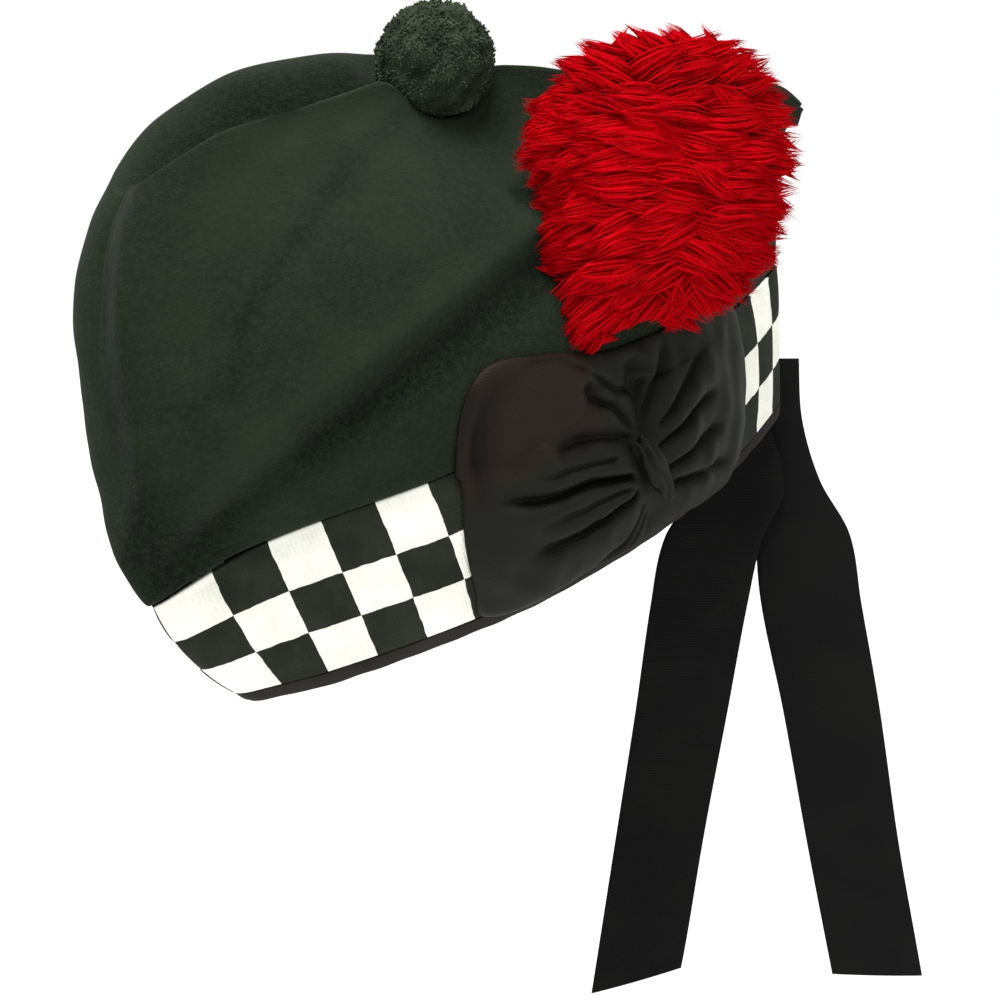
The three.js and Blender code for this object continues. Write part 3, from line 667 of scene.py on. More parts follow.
LAP = 1.8  # how much higher the felt's foot is sewn than the band's top course
SIDE_LOOPS, TOP_LOOPS, ROUND_STEPS = 112, 17, 270
sides, tops = np.linspace(0, 1, SIDE_LOOPS), np.linspace(0, 1, TOP_LOOPS + 1)[1:]
felt_outside = crown_rows(seam_shares(ROUND_STEPS), sides, tops)
felt_outside[: len(sides), :, 2] += LAP * np.maximum(0, 1 - sides / 0.1)[:, None]
free = np.concatenate([smooth(0.02, 0.14, sides), 1 - tops**3])[:, None]
free = free * smooth(1, 7, np.abs(felt_outside[..., 1]))
swell = (0.5 * waves(felt_outside, 8.0, 3) + 0.22 * waves(felt_outside, 3.2, 4)) * free
tuck = 0.9 * np.exp(-np.concatenate([sides, tops * 0 + 1])[:, None] * RISE / 1.2)
felt_outside = felt_outside + loop_normals(felt_outside) * (swell - tuck)[..., None]

felt_inside = inset(crown_rows(seam_shares(ROUND_STEPS), sides[::4], tops[::4]), FELT, 2)
felt_inside[0, :, 2] = felt_outside[0, :, 2]
felt_inside[-1] = felt_outside[-1] - [0, 0, FELT * 1.15]
felt = np.concatenate([felt_inside[::-1], felt_outside])


def felt_painted_light_at(p, side_share, top):
    """Painted shade and highlight on the felt: near 0 in the folds, the crease, the front hollow
    and the dent, 0.5 on the plain sides, up to 1 along the brow and the near ridge.
    """
    x, y, z = axes_of(p)
    below = z - along(FOLD, "brow", x)
    left = smooth(0, 6, y) * smooth(-100, -50, x) * (1 - smooth(118, 142, x))
    pale = left * (0.3 * bump(below - 1, 5) - 0.44 * bump(below + 13, 9))
    pale = pale + 0.6 * smooth(0, 6, y) * bump(side_share - 0.94, 0.09) * bump(x - 28, 42)
    pale = pale - 0.22 * left * bump(z - along(PINCH, "line", x), 3.5)
    pale = pale - 0.5 * bump(y - 9, 9) * smooth(60, 95, x)
    pale = pale - 0.3 * bump(np.hypot(x - DENT_X, z - DENT_Z), 4)
    valley = smooth(0.15, 0.7, top) * (0.1 + 0.35 * smooth(-45, 10, x))
    return np.clip(0.5 + pale - valley, 0, 1)


side_share = np.concatenate([sides, 1 + tops])[:, None]
top_share = np.concatenate([0 * sides, tops])[:, None]
# painted shade and painted highlight on the outside; the inside stays plain at 0.5
outside_painted_light = felt_painted_light_at(felt_outside, side_share, top_share)
felt_light_share = np.concatenate([np.full(felt_inside.shape[:2], 0.5), outside_painted_light])
felt_cells = cells(*felt.shape[:2], close_cols=True)
crown_felt = piece("crown_felt", set_down(felt), felt_cells, "crown", shade=felt_light_share)

# %% [markdown]
# The colour of dyed felt is uneven at two sizes: pale and dark fibres lie mixed at less than a
# millimetre, and handling leaves soft clouds a few centimetres across. Both are noise in object
# coordinates, so no seam shows. The shade of each point is painted light: painted shade in the
# folds, the crease, the front hollow and the dent, and a painted highlight along the brow and the
# near ridge. The nap is a shallow bump, with a little sheen for the fibre tips.

# %% Felt
def felt_finish():
    """Dark green felt: mix(deep, pale, painted light + 0.3 (clouds - 0.5)), lightened by single fibres."""
    sheen = {"Sheen_Weight": 0.03, "Sheen_Roughness": 0.5}
    paint = Paint("bottle_green_felt", rough=0.95, shine=0.06, **sheen)
    clouds = paint.noise(28, detail=4).step(0.35, 0.7)
    fibres = paint.noise(1500, detail=2, rough=0.7)
    fibres_long = paint.noise(520, detail=3, rough=0.7)
    # painted shade and highlight from the mesh, moved a little by random clouds
    painted_light_and_clouds = paint.shade() + (clouds - 0.5) * 0.3
    base = paint.mixed(painted_light_and_clouds.step(0, 1, "LINEAR"), tone(9, 13, 9), tone(34, 44, 30))
    colour = paint.mixed((fibres + fibres_long).step(0.75, 1.35) * 0.55, base, tone(36, 47, 33))
    return paint.finish(colour, fibres * 0.5 + fibres_long * 0.5, 0.0009)


crown_felt.data.materials.append(felt_finish())

# %% [markdown]
# ## The diced band
#
# The band is knitted in one tube: three rows of dice, thirty-two to a row, white and a dark green near
# the crown's. Where the yarn changes colour the stitches of one die pull on the next, so every die
# stands up a little in its middle and no edge is quite straight. The relief of the dice is in the
# mesh. The colours follow the band's own map: one value counts dice and the other counts rows.

# %% Diced band
def level(h, depth, shares):
    """A loop of the band at height h, its depth inside the outer skin."""

    def at(height):
        return both_sides(lambda f, left: band(f, height) * [1, 1 if left else -1, 1], shares)

    rows = np.array([at(h - 0.5), at(h), at(h + 0.5)])
    ring = inset(rows, depth, max(0.0, depth * 2 / FELT))[1]
    ring[:, 2] = rows[1][:, 2]
    return ring


def profile(steps, shares):
    """Loops for each (height, depth) of a profile, each loop closed by its first point again."""
    rows = np.array([level(h, depth, shares) for h, depth in steps])
    return np.concatenate([rows, rows[:, :1]], 1)


FINE = 24  # points to a die
SLACK, RAW_FOOT = 0.3, 1.5  # between tape and knit, and the thickness of the knit inside the tape
shares = np.linspace(0, 1, DICE * FINE + 1)
die = np.arange(2 * DICE * FINE + 1) / FINE
foot, inside = 1.7, TAPE + SLACK + RAW_FOOT
top = BAND_TOP + LAP - 0.2
heights = np.linspace(BINDING + 0.35, top - 0.3, 66)
steps = [(foot, TAPE + SLACK), (BINDING + 0.1, TAPE + SLACK)]
steps += [(h, 0.0) for h in heights]
steps += [(top - 0.1, 0.3), (top, 0.8), (top, inside), (30, inside), (foot, inside)]
rows = profile(steps, shares)
row_of = np.clip((np.array(steps)[:, 0] - BINDING) / ROW, 0.05, 2.95)


def pillow(u, v):
    """Stand of a die over its own edges, 0 to 1: (|sin(pi u)| |sin(pi v)|) to a low power."""
    return (np.abs(np.sin(np.pi * u)) * np.abs(np.sin(np.pi * v)) + 1e-9) ** 0.35


stand = np.zeros(rows.shape[:2])
face = slice(2, 2 + len(heights))
stand[face] = 0.5 * pillow(die, row_of[face, None]) - 0.35
stand[face] += 0.14 * waves(rows[face], 5.0, 8)
edge = smooth(0, 3, heights - heights[0]) * (1 - smooth(-1.2, 0, heights - heights[-1]))
stand[face] *= edge[:, None]
rows = rows + loop_normals(rows) * stand[..., None]
band_map = stacked(die, row_of[:, None])
band_cells = cells(*rows.shape[:2], close_rows=True)
dice_band = piece("dice_band", set_down(rows), band_cells, "diced_band", uv=band_map)

# %% [markdown]
# A die is white where the sum of its two whole numbers is even. The counted values are first shaken
# by noise, by less than a stitch's width, so the edges between the dice are as uneven as knitting.
# Fine ribs of stitches run up and down the band, and courses run round it.

# %% Knit
RIBS, COURSES = 13, 11  # of stitches to a die


def knit_finish():
    """Dice in two yarns: white where floor(u) + floor(v) is even."""
    paint = Paint("diced_knit", rough=0.9, shine=0.1)
    u, v = paint.cut()
    shaken_u = u + (paint.noise(150, detail=2) - 0.5) * 0.07
    shaken_v = v + (paint.noise(140, detail=2, at=paint.stretched((1.3, 1.1, 1.0))) - 0.5) * 0.07
    half_sum = (shaken_u.math("FLOOR") + shaken_v.math("FLOOR")) * 0.5
    green = half_sum.math("FRACT").math("GREATER_THAN", 0.25)
    wear = paint.noise(90, detail=3).step(0.3, 0.7)
    white = paint.mixed(wear, tone(220, 221, 209), tone(233, 233, 223))
    dark = paint.mixed(wear, tone(30, 33, 27), tone(38, 42, 33))
    rib = abs((u * (math.pi * RIBS)).math("SINE"))
    course = abs((v * (math.pi * COURSES) + rib * 0.9).math("SINE"))
    height = rib * 0.5 + course * 0.4 + paint.noise(900, detail=2) * 0.5
    return paint.finish(paint.mixed(green, white, dark), height, 0.00025)


dice_band.data.materials.append(knit_finish())

# %% [markdown]
# ## The binding
#
# A narrow twilled tape is folded round the raw foot of the band and stitched through. Seen from
# outside it is one dark line. Its section is a long U with rounded turns, carried round the foot.

# %% Binding
lap = inside + SLACK
tape_steps = [
    (BINDING - 0.1, TAPE), (BINDING, 0.6), (BINDING - 0.1, 0.15), (BINDING - 0.6, -0.02),
    (4.2, -0.12), (2.8, -0.1), (1.6, 0.05), (0.9, 0.3), (0.5, 0.8), (0.35, 1.6),
    (0.35, lap - 0.4), (0.5, lap + 0.3), (1.0, lap + 0.8), (2.0, lap + TAPE),
    (BINDING - 0.3, lap + TAPE), (BINDING, lap + 0.6), (BINDING - 0.1, lap), (1.5, lap), (1.45, TAPE + 0.1),
]
tape_rows = profile(tape_steps, seam_shares(230))
along_tape = sums(np.linalg.norm(np.diff(tape_rows[4], axis=0), axis=1))
across_tape = sums([math.dist(a, b) for a, b in zip(tape_steps, tape_steps[1:])])
pulled = 0.16 * waves(tape_rows, 3.0, 12)
pulled[0] = 0
tape_rows = tape_rows + loop_normals(tape_rows) * pulled[..., None]
tape_rows[:, -1] = tape_rows[:, 0]
tape_map = stacked(along_tape, across_tape[:, None])
tape_cells = cells(*tape_rows.shape[:2], close_rows=True)
rim_tape = piece("rim_tape", set_down(tape_rows), tape_cells, "rim_binding", uv=tape_map)


def tape_finish():
    """Dark twill: slanting ribs 0.64 mm apart, and a little paler in places."""
    paint = Paint("binding_twill", rough=0.85, shine=0.1)
    u, v = paint.cut()
    twill = (u + v).ribs(0.9)
    cloud = paint.noise(60, detail=3).step(0.3, 0.75)
    colour = paint.mixed(cloud, tone(34, 31, 29), tone(44, 40, 37))
    return paint.finish(colour, twill + paint.noise(800), 0.0002)


rim_tape.data.materials.append(tape_finish())

# %% [markdown]
# ## The toorie
#
# A toorie is wound from wool, tied and clipped to a ball. Close to, it is a mass of cut ends, curled
# together in clumps a few millimetres across. The ball under them is a lumpy sphere. The ends
# are short bent tapers, seeded over the sphere with a sunflower spiral, which spaces them evenly
# without a pattern.

# %% Strands
def strands(root, way, length, radius, bend, turns=3, taper=0.8):
    """Tapered threads as closed meshes of turns + 1 rings of three points, and a point at the tip.

    centre(t) = root + way * length * t + bend * length * 4 t (1 - t), radius(t) = radius (1 - taper t)
    Gives the points, the faces, and the share of the way to the tip for the points of one thread.
    """
    n = len(root)
    t = np.linspace(0, 1, turns + 2)
    centre = root[:, None] + way[:, None] * (length[:, None] * t)[..., None]
    centre = centre + bend[:, None] * (length[:, None] * 4 * t * (1 - t))[..., None]
    across = unit(np.cross(way, np.roll(way, 1, axis=1) + [0.3, 0.2, 0.1]))
    over = np.cross(way, across)
    angle = np.arange(3) * 2 * np.pi / 3
    ring = across[:, None, None] * np.cos(angle)[:, None] + over[:, None, None] * np.sin(angle)[:, None]
    thick = radius[:, None] * (1 - taper * t[:-1])
    rings = centre[:, :-1, None] + ring * thick[..., None, None]
    points = np.concatenate([rings.reshape(n, -1, 3), centre[:, -1:]], 1)
    walls = cells(turns + 1, 3, close_cols=True)
    last, tip = turns * 3, (turns + 1) * 3
    point = [[last + i, last + (i + 1) % 3, tip, tip] for i in range(3)]
    one = np.concatenate([walls, point, [[0, 2, 1, 1]]])
    faces = one + (np.arange(n) * (tip + 1))[:, None, None]
    share = np.concatenate([np.repeat(t[:-1], 3), [1.0]])
    return points.reshape(-1, 3), faces.reshape(-1, 4), share


def ball(rows, cols):
    """Unit sphere grid of rows from pole to pole, each row closed by its first point again."""
    polar = np.linspace(0, np.pi, rows)[:, None]
    turn = np.linspace(0, 2 * np.pi, cols)
    grid = stacked(np.sin(polar) * np.cos(turn), np.sin(polar) * np.sin(turn), np.cos(polar))
    grid[:, -1] = grid[:, 0]
    grid[0], grid[-1] = [0, 0, 1], [0, 0, -1]
    return grid


def sunflower(n):
    """n directions spread evenly: z falls evenly from 1 to -1 and each turns 137.5 degrees on."""
    k = np.arange(n) + 0.5
    z = 1 - 2 * k / n
    turn = k * math.pi * (3 - math.sqrt(5))
    flat = np.sqrt(1 - z * z)
    return stacked(flat * np.cos(turn), flat * np.sin(turn), z)


# %% Toorie
def lumps(v):
    """The ball's own lumpiness, a share of its radius."""
    x, y, z = axes_of(v)
    lump = 0.022 * np.sin(7 * x + 3 * y) * np.sin(6 * z - 2 * x) + 0.02 * np.sin(10 * y + 5 * z)
    return lump - 0.02 * bump(z + 1, 0.3)


def curls(v):
    """Clumps of curled ends: where two sets of waves both stand high, -1 to 1."""
    return waves(v, 0.085, 21) * 0.6 + waves(v, 0.05, 22) * 0.5


ENDS, END_RADIUS = 5200, 0.55
rng = np.random.default_rng(5)
core = ball(90, 181)
skin = 1 + lumps(core) + 0.03 * curls(core) - 0.04
wool_middle, wool_radius = TOORIE - [0, 0, 0.6], TOORIE_RADIUS - 0.6
core_points = (wool_middle + core * (wool_radius * skin)[..., None]).reshape(-1, 3)
# the core under the ends carries painted shade, deepest between the clumps
core_painted_shade = np.clip(0.25 + 0.25 * curls(core), 0, 1).reshape(-1)

seeds = sunflower(ENDS)
seeds = unit(seeds + rng.normal(0, 0.018, seeds.shape))
seeds = seeds[seeds[:, 2] > -0.93]
clump = curls(seeds)
lean = np.cross(seeds, stacked(*(waves(seeds, 0.12, 30 + k) for k in range(3))))
lean = lean / np.maximum(np.linalg.norm(lean, axis=-1, keepdims=True), 0.2)
way = unit(seeds * 0.8 + lean * 0.9 + rng.normal(0, 0.3, seeds.shape))
length = wool_radius * (0.095 + 0.02 * clump) * rng.uniform(0.8, 1.2, len(seeds))
start = wool_middle + seeds * (wool_radius * (0.925 + lumps(seeds) + 0.03 * clump))[:, None]
curl = rng.normal(0, 0.2, seeds.shape)
thick = np.full(len(seeds), END_RADIUS)
points, faces, share = strands(start, way, length, thick, curl, turns=3, taper=0.45)
# the ends: painted highlight where clumps stand high and at the tips, painted shade at the roots, with
# random tone
end_light_and_tone = np.clip(0.5 + 0.45 * clump + rng.normal(0, 0.1, len(seeds)), 0, 1)
end_light_and_tone = (end_light_and_tone[:, None] * (0.55 + 0.45 * share)).reshape(-1)
toorie_wool = piece(
    "toorie_wool",
    set_down(np.concatenate([core_points, points])),
    np.concatenate([cells(*core.shape[:2]), faces + len(core_points)]),
    "toorie",
    shade=np.concatenate([core_painted_shade, end_light_and_tone]),
)


def wool_finish():
    """Green wool: painted shade between clumps and at roots, painted highlight on the cut tips."""
    paint = Paint("green_wool", rough=1.0, shine=0.05)
    return paint.finish(paint.mixed(paint.shade(), tone(26, 31, 24), tone(64, 76, 58)))


toorie_wool.data.materials.append(wool_finish())

# %% [markdown]
# ## The cockade and its knot
#
# A wide silk ribbon is laid flat, drawn together along one line and bound there, so its pleats fan
# out from the knot and its free edges puff. The silk is a closed grid in polar form round the knot.
# Its skin stands off the side of the cap, and every pleat is a valley along a line. Most start near
# the knot and die out towards the edge. One formula gives the valley's depth, so pleats may cross or
# run beside each other.

# %% Cockade: tables
KNOT_A, KNOT_H, KNOT_LIFT = 160.0, 26.0, 6.2
COCKADE = columns(
    "at out",
    (0, 69), (12, 72), (22, 77), (30, 76), (38, 68), (48, 58), (62, 48), (90, 45), (113, 56),
    (126, 67), (137, 68.5), (150, 66), (163, 66), (176, 67.5), (188, 69), (196.5, 70.5), (206, 48),
    (222, 31.5), (245, 23.3), (270, 21.2), (295, 23.3), (320, 32.5), (341, 63), (350, 68), (360, 69),
)
# each pleat: its depth and width in mm, and its line from the knot outwards, back and up in mm
PLEATS = [
    (0.8, 3.0, [(-1, 13.5), (-11, 18), (-21, 20.5), (-33.5, 20.5)]),
    (0.95, 1.5, [(-5, 3.5), (-21.5, 7.5), (-30.5, 8.5), (-40.5, 10.5), (-55.5, 15.5)]),
    (0.75, 1.5, [(-4, -2), (-20.5, -4.5), (-32.5, -4), (-49, -3.5)]),
    (0.55, 1.8, [(0, -8.5), (-9.5, -15), (-21, -19), (-36, -24)]),
    (0.45, 1.6, [(2, -12), (-14, -23), (-38, -34)]),
    (0.4, 2.0, [(4, -14), (0, -26), (-8, -36)]),
    (0.35, 1.3, [(-8, 1), (-24, 1.5), (-44, 4)]),
    (0.4, 1.3, [(-10, 10.5), (-24, 13.5), (-40, 16)]),
    (0.85, 2.6, [(1.5, 17), (-5, 26), (-10.5, 32.5), (-9.5, 40)]),
    (0.5, 1.6, [(-7, 40), (-1.5, 31.5), (8.5, 26), (14, 31)]),
    (0.45, 1.4, [(-10, 43), (-17.5, 49), (-30.5, 51)]),
    (0.75, 1.5, [(-64, 22), (-58, 31), (-53.5, 40), (-49.5, 46.5), (-44, 51)]),
    (0.95, 4.2, [(6, 14), (8, 23.5), (7, 33), (12.5, 41)]),
    (0.6, 1.6, [(8, 17), (12.5, 22), (19, 29.5), (25, 42)]),
    (0.5, 1.4, [(13, 13), (26, 20), (40, 27)]),
    (0.65, 1.5, [(11, 6.5), (27, 11), (41.5, 13.5)]),
    (0.6, 1.5, [(11, -1.5), (29, 1), (43.5, 2)]),
    (0.6, 1.5, [(11, -6), (30.5, -8.5), (48, -11.5)]),
]
TIE = ((5, -11), (5, 15))  # the line of the binding thread, back and up in mm
PUFF, EDGE, BACK = 6.4, 1.3, 0.75  # how far the silk's puffs, its edge and its back stand off, in mm

# %% Cockade
def from_line(u, w, a, b):
    """Distance of points (u, w) to the line from a to b, and the share of it where each is nearest."""
    step = np.subtract(b, a)
    share = np.clip(((u - a[0]) * step[0] + (w - a[1]) * step[1]) / (step @ step), 0, 1)
    return np.hypot(u - a[0] - share * step[0], w - a[1] - share * step[1]), share


def gathered(u, w):
    """How far the pleats draw the silk down at (u, w), 0 to 0.95.

    A pleat is a sharp valley, exp(-(d / width)^1.3) deep. It widens along its line, and fades over
    the last fifth of it.
    """
    drawn = np.zeros(np.broadcast_shapes(u.shape, w.shape))
    for deep, wide, line in PLEATS:
        near, reached = np.full(drawn.shape, 1e3), np.zeros(drawn.shape)
        for k, (a, b) in enumerate(zip(line, line[1:])):
            off, share = from_line(u, w, a, b)
            reached = np.where(off < near, (k + share) / (len(line) - 1), reached)
            near = np.minimum(near, off)
        fade = 1 - smooth(0.78, 1.03, reached)
        drawn = drawn + deep * fade * np.exp(-((near / (wide * (0.6 + 0.7 * reached))) ** 1.3))
    return np.minimum(0.95, drawn)


def eased(grid, passes=14):
    """The grid with each point moved to the mean of itself and its neighbours, its ends kept."""
    g = grid[:, :-1]
    for _ in range(passes):
        g = (np.roll(g, 1, axis=1) + 2 * g + np.roll(g, -1, axis=1)) / 4
        g[1:-1] = (g[:-2] + 2 * g[1:-1] + g[2:]) / 4
    return np.concatenate([g, g[:, :1]], 1)


def silk_skin(spans, turns, front):
    """Rows of the silk's front or back: side(a, h) raised along its normal.

    lift = EDGE + (PUFF * (1 - drawn) + rumple) * puffed, which rises from the tie and falls at
    the edge.
    Gives the skin, its map in mm from the knot, and how deep each point lies in a pleat, each with
    a first row drawn to the middle of its ring.
    """
    deg = np.linspace(0, 360, turns + 1)
    r = spans[:, None]
    out = along(COCKADE, "out", deg) * r
    u, w = out * np.cos(np.radians(deg)), out * np.sin(np.radians(deg))
    a, h = KNOT_A + u, KNOT_H + w
    from_tie = from_line(u, w, *TIE)[0]
    puffed = (0.25 + 0.75 * smooth(0, 16, from_tie)) * (1 - r**4) ** 0.6
    turned_in = bump(r - 0.9, 0.055) * bump(deg - 146, 17)
    drawn = np.minimum(0.95, gathered(u, w) + turned_in)
    flat = stacked(u, w, 0)
    rumple = (1.3 * waves(flat, 5.0, 51) + 0.7 * waves(flat, 2.2, 52)) * smooth(0, 20, from_tie)
    lift = EDGE + (PUFF * (1 - drawn) + rumple) * puffed
    skin, normal = side(a, h), side_normal(a, h)
    skin = eased(skin) + eased(normal) * lift[..., None] if front else skin + normal * BACK
    hub = np.broadcast_to(skin[:1].mean(1, keepdims=True), skin[:1].shape)
    return (
        np.concatenate([hub, skin]),
        np.concatenate([0 * flat[:1, :, :2], flat[..., :2]]),
        np.concatenate([drawn[:1], drawn]),
    )


SILK_TURNS = 500
spans = np.linspace(0.02, 1, 86)
faces_of_silk = zip(silk_skin(spans[::5], SILK_TURNS, False), silk_skin(spans, SILK_TURNS, True))
silk, silk_map, silk_painted_shade = (np.concatenate([back, front[::-1]]) for back, front in faces_of_silk)
silk[:, -1] = silk[:, 0]
# painted shade: deep in the pleats and the turned-in left edge, and growing towards the bottom
silk_painted_shade = np.clip(silk_painted_shade + 0.5 * smooth(0, 45, -silk_map[..., 1]), 0, 1)
cockade_silk = piece(
    "cockade_silk", set_down(silk), cells(*silk.shape[:2]), "cockade",
    uv=silk_map, shade=silk_painted_shade,
)


def knot_place():
    """The knot's middle and its axes: back along the band, up the side, and out."""
    out = side_normal(KNOT_A, KNOT_H)
    back = unit(np.cross([0, 1, 0], out))
    return side(KNOT_A, KNOT_H) + out * KNOT_LIFT, np.array([back, np.cross(out, back), out])


knot_middle, knot_axes = knot_place()
pebble = ball(60, 91)
cords = np.sin(pebble[..., 0] * 9 + 1.5 * np.sin(pebble[..., 1] * 5)) * 0.1
cords = cords + 0.1 * waves(pebble, 0.2, 53)
pebble = pebble * (1 + cords)[..., None] * [4.4, 14, 3.6] + [5, 1.5, 0]
knot = knot_middle + pebble @ knot_axes
# the knot carries painted shade, deepest in the grooves between its cords
silk_knot = piece(
    "silk_knot", set_down(knot), cells(*knot.shape[:2]), "cockade_knot",
    uv=pebble[..., :2], shade=np.clip(0.55 - 3 * cords, 0, 1),
)


def silk_finish():
    """Black-green corded silk: fine cords and a warmer part up and forward.

    The shade is painted shade: in the pleats, over the knot and deepest between its cords, and
    towards the bottom.
    """
    paint = Paint("corded_silk", rough=0.6, shine=0.1)
    u, v = paint.cut()
    cord = v.ribs(0.7)
    patch = v.step(8, 30) * (u * -1).step(0, 14)
    warm = (patch * 0.5 + paint.noise(75, detail=5) * 0.5).step(0.4, 0.65)
    colour = paint.mixed(warm, tone(20, 21, 15), tone(27, 19, 14))
    # painted shade from the mesh draws the silk towards near black
    colour = paint.mixed(paint.shade() * 0.85, colour, tone(5, 5, 5))
    return paint.finish(colour, cord * 0.6 + paint.noise(700) * 0.6, 0.0001)


silk_paint = silk_finish()
cockade_silk.data.materials.append(silk_paint)
silk_knot.data.materials.append(silk_paint)

# %% [markdown]
# ## The hackle
#
# The hackle is a bunch of dyed cock feathers wired to a stem behind the cockade. Its barbs cling in
# locks that lie over the bunch like shingles: out to both sides from the middle, a little down, with
# their points standing past the outline. A smooth core fills the bunch, so light doesn't leak
# through. Each lock is a bundle of thin tapers whose roots are spread and whose points meet.

# %% Hackle
HACKLE = np.array([-51.5, 66.0, 114.0])
HACKLE_TURN, HALF_DEEP = math.radians(30), 18.0
HACKLE_EDGE = columns(
    "at out",
    (0, 34.5), (30, 42), (60, 48), (90, 48.5), (135, 46), (163, 42), (180, 34.5), (200, 38),
    (225, 45), (243, 60), (257, 46), (272, 42), (300, 38.5), (330, 36), (360, 34.5),
)


def lifted(x, y, z):
    """A direction of the level frame, in the cap's frame."""
    c, s = math.cos(PITCH), math.sin(PITCH)
    return np.array([x * c - z * s, y, x * s + z * c])


h_back, h_up = lifted(-math.cos(HACKLE_TURN), math.sin(HACKLE_TURN), 0), lifted(0, 0, 1)
HACKLE_AXES = np.array([h_back, h_up, np.cross(h_back, h_up)])


def in_hackle(p):
    """Points given as back, up and out from the hackle's middle, in the cap's frame."""
    return HACKLE + p @ HACKLE_AXES


def on_bunch(v, share):
    """The bunch's surface in direction v, at a share of its size: (reach x, reach y, deep z)."""
    x, y, z = axes_of(v)
    reach = along(HACKLE_EDGE, "out", np.degrees(np.arctan2(y, x)) % 360)
    return stacked(x * reach, y * reach, z * HALF_DEEP) * share


rng = np.random.default_rng(11)
dome = ball(48, 81)
core = in_hackle(on_bunch(dome, (0.9 + 0.05 * waves(dome * [1, 1, 0.4], 0.12, 41))[..., None]))
core[:, -1] = core[:, 0]

LOCKS, BARBS = 420, 26  # barbs in each lock
seat = sunflower(LOCKS)
seat = unit(seat + rng.normal(0, 0.03, seat.shape))
root = on_bunch(seat, 0.9)
normal = unit(seat / [42, 45, HALF_DEEP])
edge_on = np.hypot(seat[:, 0], seat[:, 1]) ** 3
# to the nearer side, fanned up or down with height, and drooping a little
side_way = np.where(seat[:, 0] + rng.normal(0, 0.3, len(seat)) > 0.08, 1.0, -1.0)
fan = seat[:, 1] * 0.45 + rng.normal(0, 0.2, len(seat)) - 0.12 - 0.9 * smooth(0.6, 0.95, -seat[:, 1])
comb = stacked(side_way, fan, 0)
comb = unit(comb - (comb * normal).sum(-1, keepdims=True) * normal)
heading = unit(comb + normal * (0.16 + 0.75 * edge_on)[:, None])
size = rng.uniform(12, 21, len(seat)) * (1 - 0.3 * edge_on)
tip = root + heading * size[:, None]
aside = np.cross(normal, comb)

# every barb of a lock starts from the lock's own values, shape (LOCKS, 1, 3)
root, tip, normal, comb, heading, aside = (v[:, None] for v in (root, tip, normal, comb, heading, aside))


def spread(low, high):
    """One even random value for each barb."""
    return rng.uniform(low, high, (LOCKS, BARBS, 1))


fanned = spread(-1, 1) * aside * 3.0
start = root + fanned + spread(-6, 2.5) * comb
start = start + spread(-0.8, 0.8) * normal
end = tip + fanned * 0.2 + rng.normal(0, 0.35, fanned.shape) + spread(-4, 0.6) * heading
bow = rng.normal(0, 0.05, LOCKS)[:, None, None] * aside + fanned * 0.035 + normal * 0.05
start, end, bow = (v.reshape(-1, 3) for v in (start, end, bow))
length = np.linalg.norm(end - start, axis=-1)
ways = unit(end - start) @ HACKLE_AXES
thick = spread(0.4, 0.68).reshape(-1)
points, faces, share = strands(in_hackle(start), ways, length, thick, bow @ HACKLE_AXES, turns=2)
lock_tone = rng.uniform(0.45, 0.72, LOCKS) + 0.14 * waves(seat, 0.3, 43)
barb_tone = lock_tone[:, None] + rng.normal(0, 0.07, (LOCKS, BARBS))
# random tone of each lock and barb, times painted shade that deepens towards the roots
barb_tone_and_painted_shade = (barb_tone[..., None] * (0.7 + 0.3 * share)).reshape(-1)
core_points = core.reshape(-1, 3)
# the core's 0.25 is painted shade inside the bunch
hackle_feathers = piece(
    "hackle_feathers",
    set_down(np.concatenate([core_points, points])),
    np.concatenate([cells(*core.shape[:2]), faces + len(core_points)]),
    "hackle",
    shade=np.concatenate([np.full(len(core_points), 0.25), np.clip(barb_tone_and_painted_shade, 0, 1)]),
)


def feather_finish():
    """Scarlet: painted shade on the core and at the roots, bright at the tips; the barbs are matt."""
    paint = Paint("scarlet_feather", rough=1.0, shine=0.0)
    return paint.finish(paint.mixed(paint.shade(), tone(140, 0, 9), tone(200, 6, 18)))


hackle_feathers.data.materials.append(feather_finish())

# %% [markdown]
# ## The ribbon tails
#
# Two lengths of ribbed black ribbon are sewn to the back seam and hang by their own weight. Each is
# narrow where it leaves the seam and opens to its full width further down. It sways a little, cups a
# little across its width, and ends in a straight cut, which slants on the left one.

# %% Ribbons
BACK_SEAM, TAIL_TURN = 119.5, math.radians(32)
RIBBON = 0.9  # thickness in mm
TAILS = {
    "left": columns(
        "at front back off",
        (-43.1, -11.5, -4.5, 2.4), (-31, -18.5, 0, 2), (-18, -31.5, 1.5, 2), (-4, -41.5, -6, 3),
        (20, -46.5, -11.5, 2.5), (60, -52, -18.5, 2), (110, -59.5, -27.5, 2), (161, -67.5, -35, 2),
    ),
    "right": columns(
        "at front back off",
        (-68, -8, 7.5, -2.6), (-46, -8.5, 9, -3.6), (-24, -8, 15.5, -3.4), (-5, -8, 26, -2),
        (20, -6, 30.5, -2), (60, 2.5, 38, -2), (110, 12, 45.5, -2), (156, 21, 54, -2),
    ),
}
SLANTS = {"left": (2.45, 9.0), "right": (0.0, -1.0)}  # of the top edge and of the cut


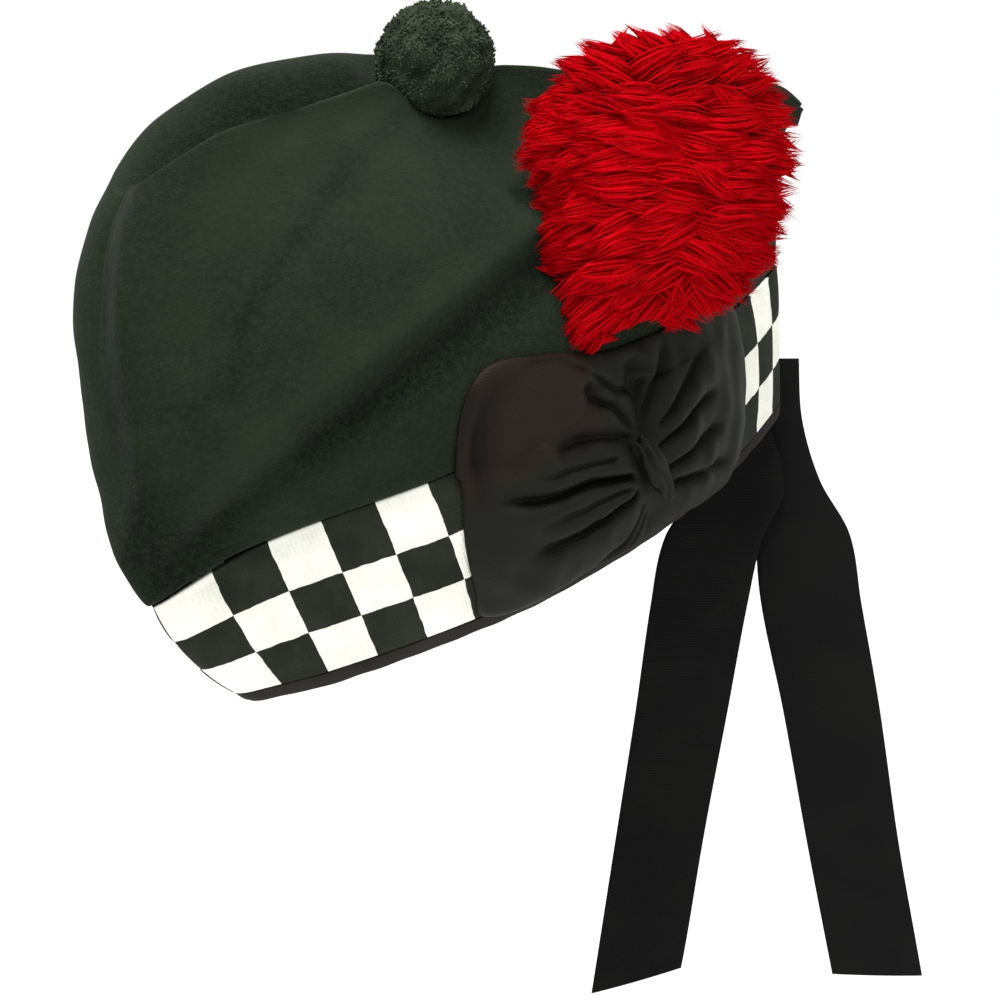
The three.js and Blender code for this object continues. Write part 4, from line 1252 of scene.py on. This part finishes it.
def tail(name, rows=240, across=22):
    """A ribbon as a closed grid: the front face's rows, then the back face's across the same width.

    off(drop, t) = table + 0.9 sin(drop / 23 + 1.2 t) + 1.1 sin(pi t), the last in full from 60 mm down
    """
    table = TAILS[name]
    top, cut = SLANTS[name]
    drop = np.linspace(table["at"][0], table["at"][-1], rows + 1)[:, None]
    gone = (drop - drop[0]) / (drop[-1] - drop[0])
    t = np.linspace(0, 1, across + 1)
    front, back = along(table, "front", drop), along(table, "back", drop)
    wave = 0.9 * np.sin(drop / 23 + 1.2 * t) + 1.1 * np.sin(np.pi * t) * smooth(-20, 60, drop)
    off = along(table, "off", drop) + wave
    z = t * (cut * gone**6 + top * (1 - gone) ** 6) - drop
    e = front + (back - front) * t
    c, s = math.cos(TAIL_TURN), math.sin(TAIL_TURN)
    x0 = -BACK_SEAM * math.cos(PITCH)
    thick = RIBBON / 2 * (1 - 0.45 * np.abs(2 * t - 1) ** 12)

    def face(way):
        o = off + way * thick
        return stacked(x0 - c * e + s * o, s * e + c * o, z)

    skin = np.concatenate([face(1), face(-1)[:, ::-1]], 1)
    uv = stacked(e - front, drop)
    return np.concatenate([skin, skin[:, :1]], 1), np.concatenate([uv, uv[:, ::-1], uv[:, :1]], 1)


def capped(rows):
    """The rows with a last and a first row drawn to the middle line between their two faces."""
    half = rows.shape[1] // 2

    def closed(row):
        faced = np.concatenate([row[:half], row[half : 2 * half]])
        middle = (faced + faced[::-1]) / 2
        return np.concatenate([middle, middle[:1]])[None]

    return np.concatenate([closed(rows[0]), rows, closed(rows[-1])])


def ribbon_finish():
    """Black ribbon with ribs across it, a little paler in places."""
    paint = Paint("ribbed_ribbon", rough=0.8, shine=0.08)
    u, v = paint.cut()
    cloud = paint.noise(40, detail=3).step(0.3, 0.7)
    colour = paint.mixed(cloud, tone(11, 12, 11), tone(16, 16, 15))
    return paint.finish(colour, v.ribs(0.9) * 0.7 + paint.noise(600) * 0.4, 0.00012)


ribbon_paint = ribbon_finish()
for name, length in {"left": 0.21, "right": 0.229}.items():
    skin, uv = tail(name)
    uv = np.concatenate([uv[:1], uv, uv[-1:]])
    ribbon = capped(skin) * MM
    ribbon_cells = cells(*ribbon.shape[:2])
    made = piece(f"ribbon_{name}", ribbon, ribbon_cells, f"ribbon_tail_{name}", uv=uv)
    made.data.materials.append(ribbon_paint)
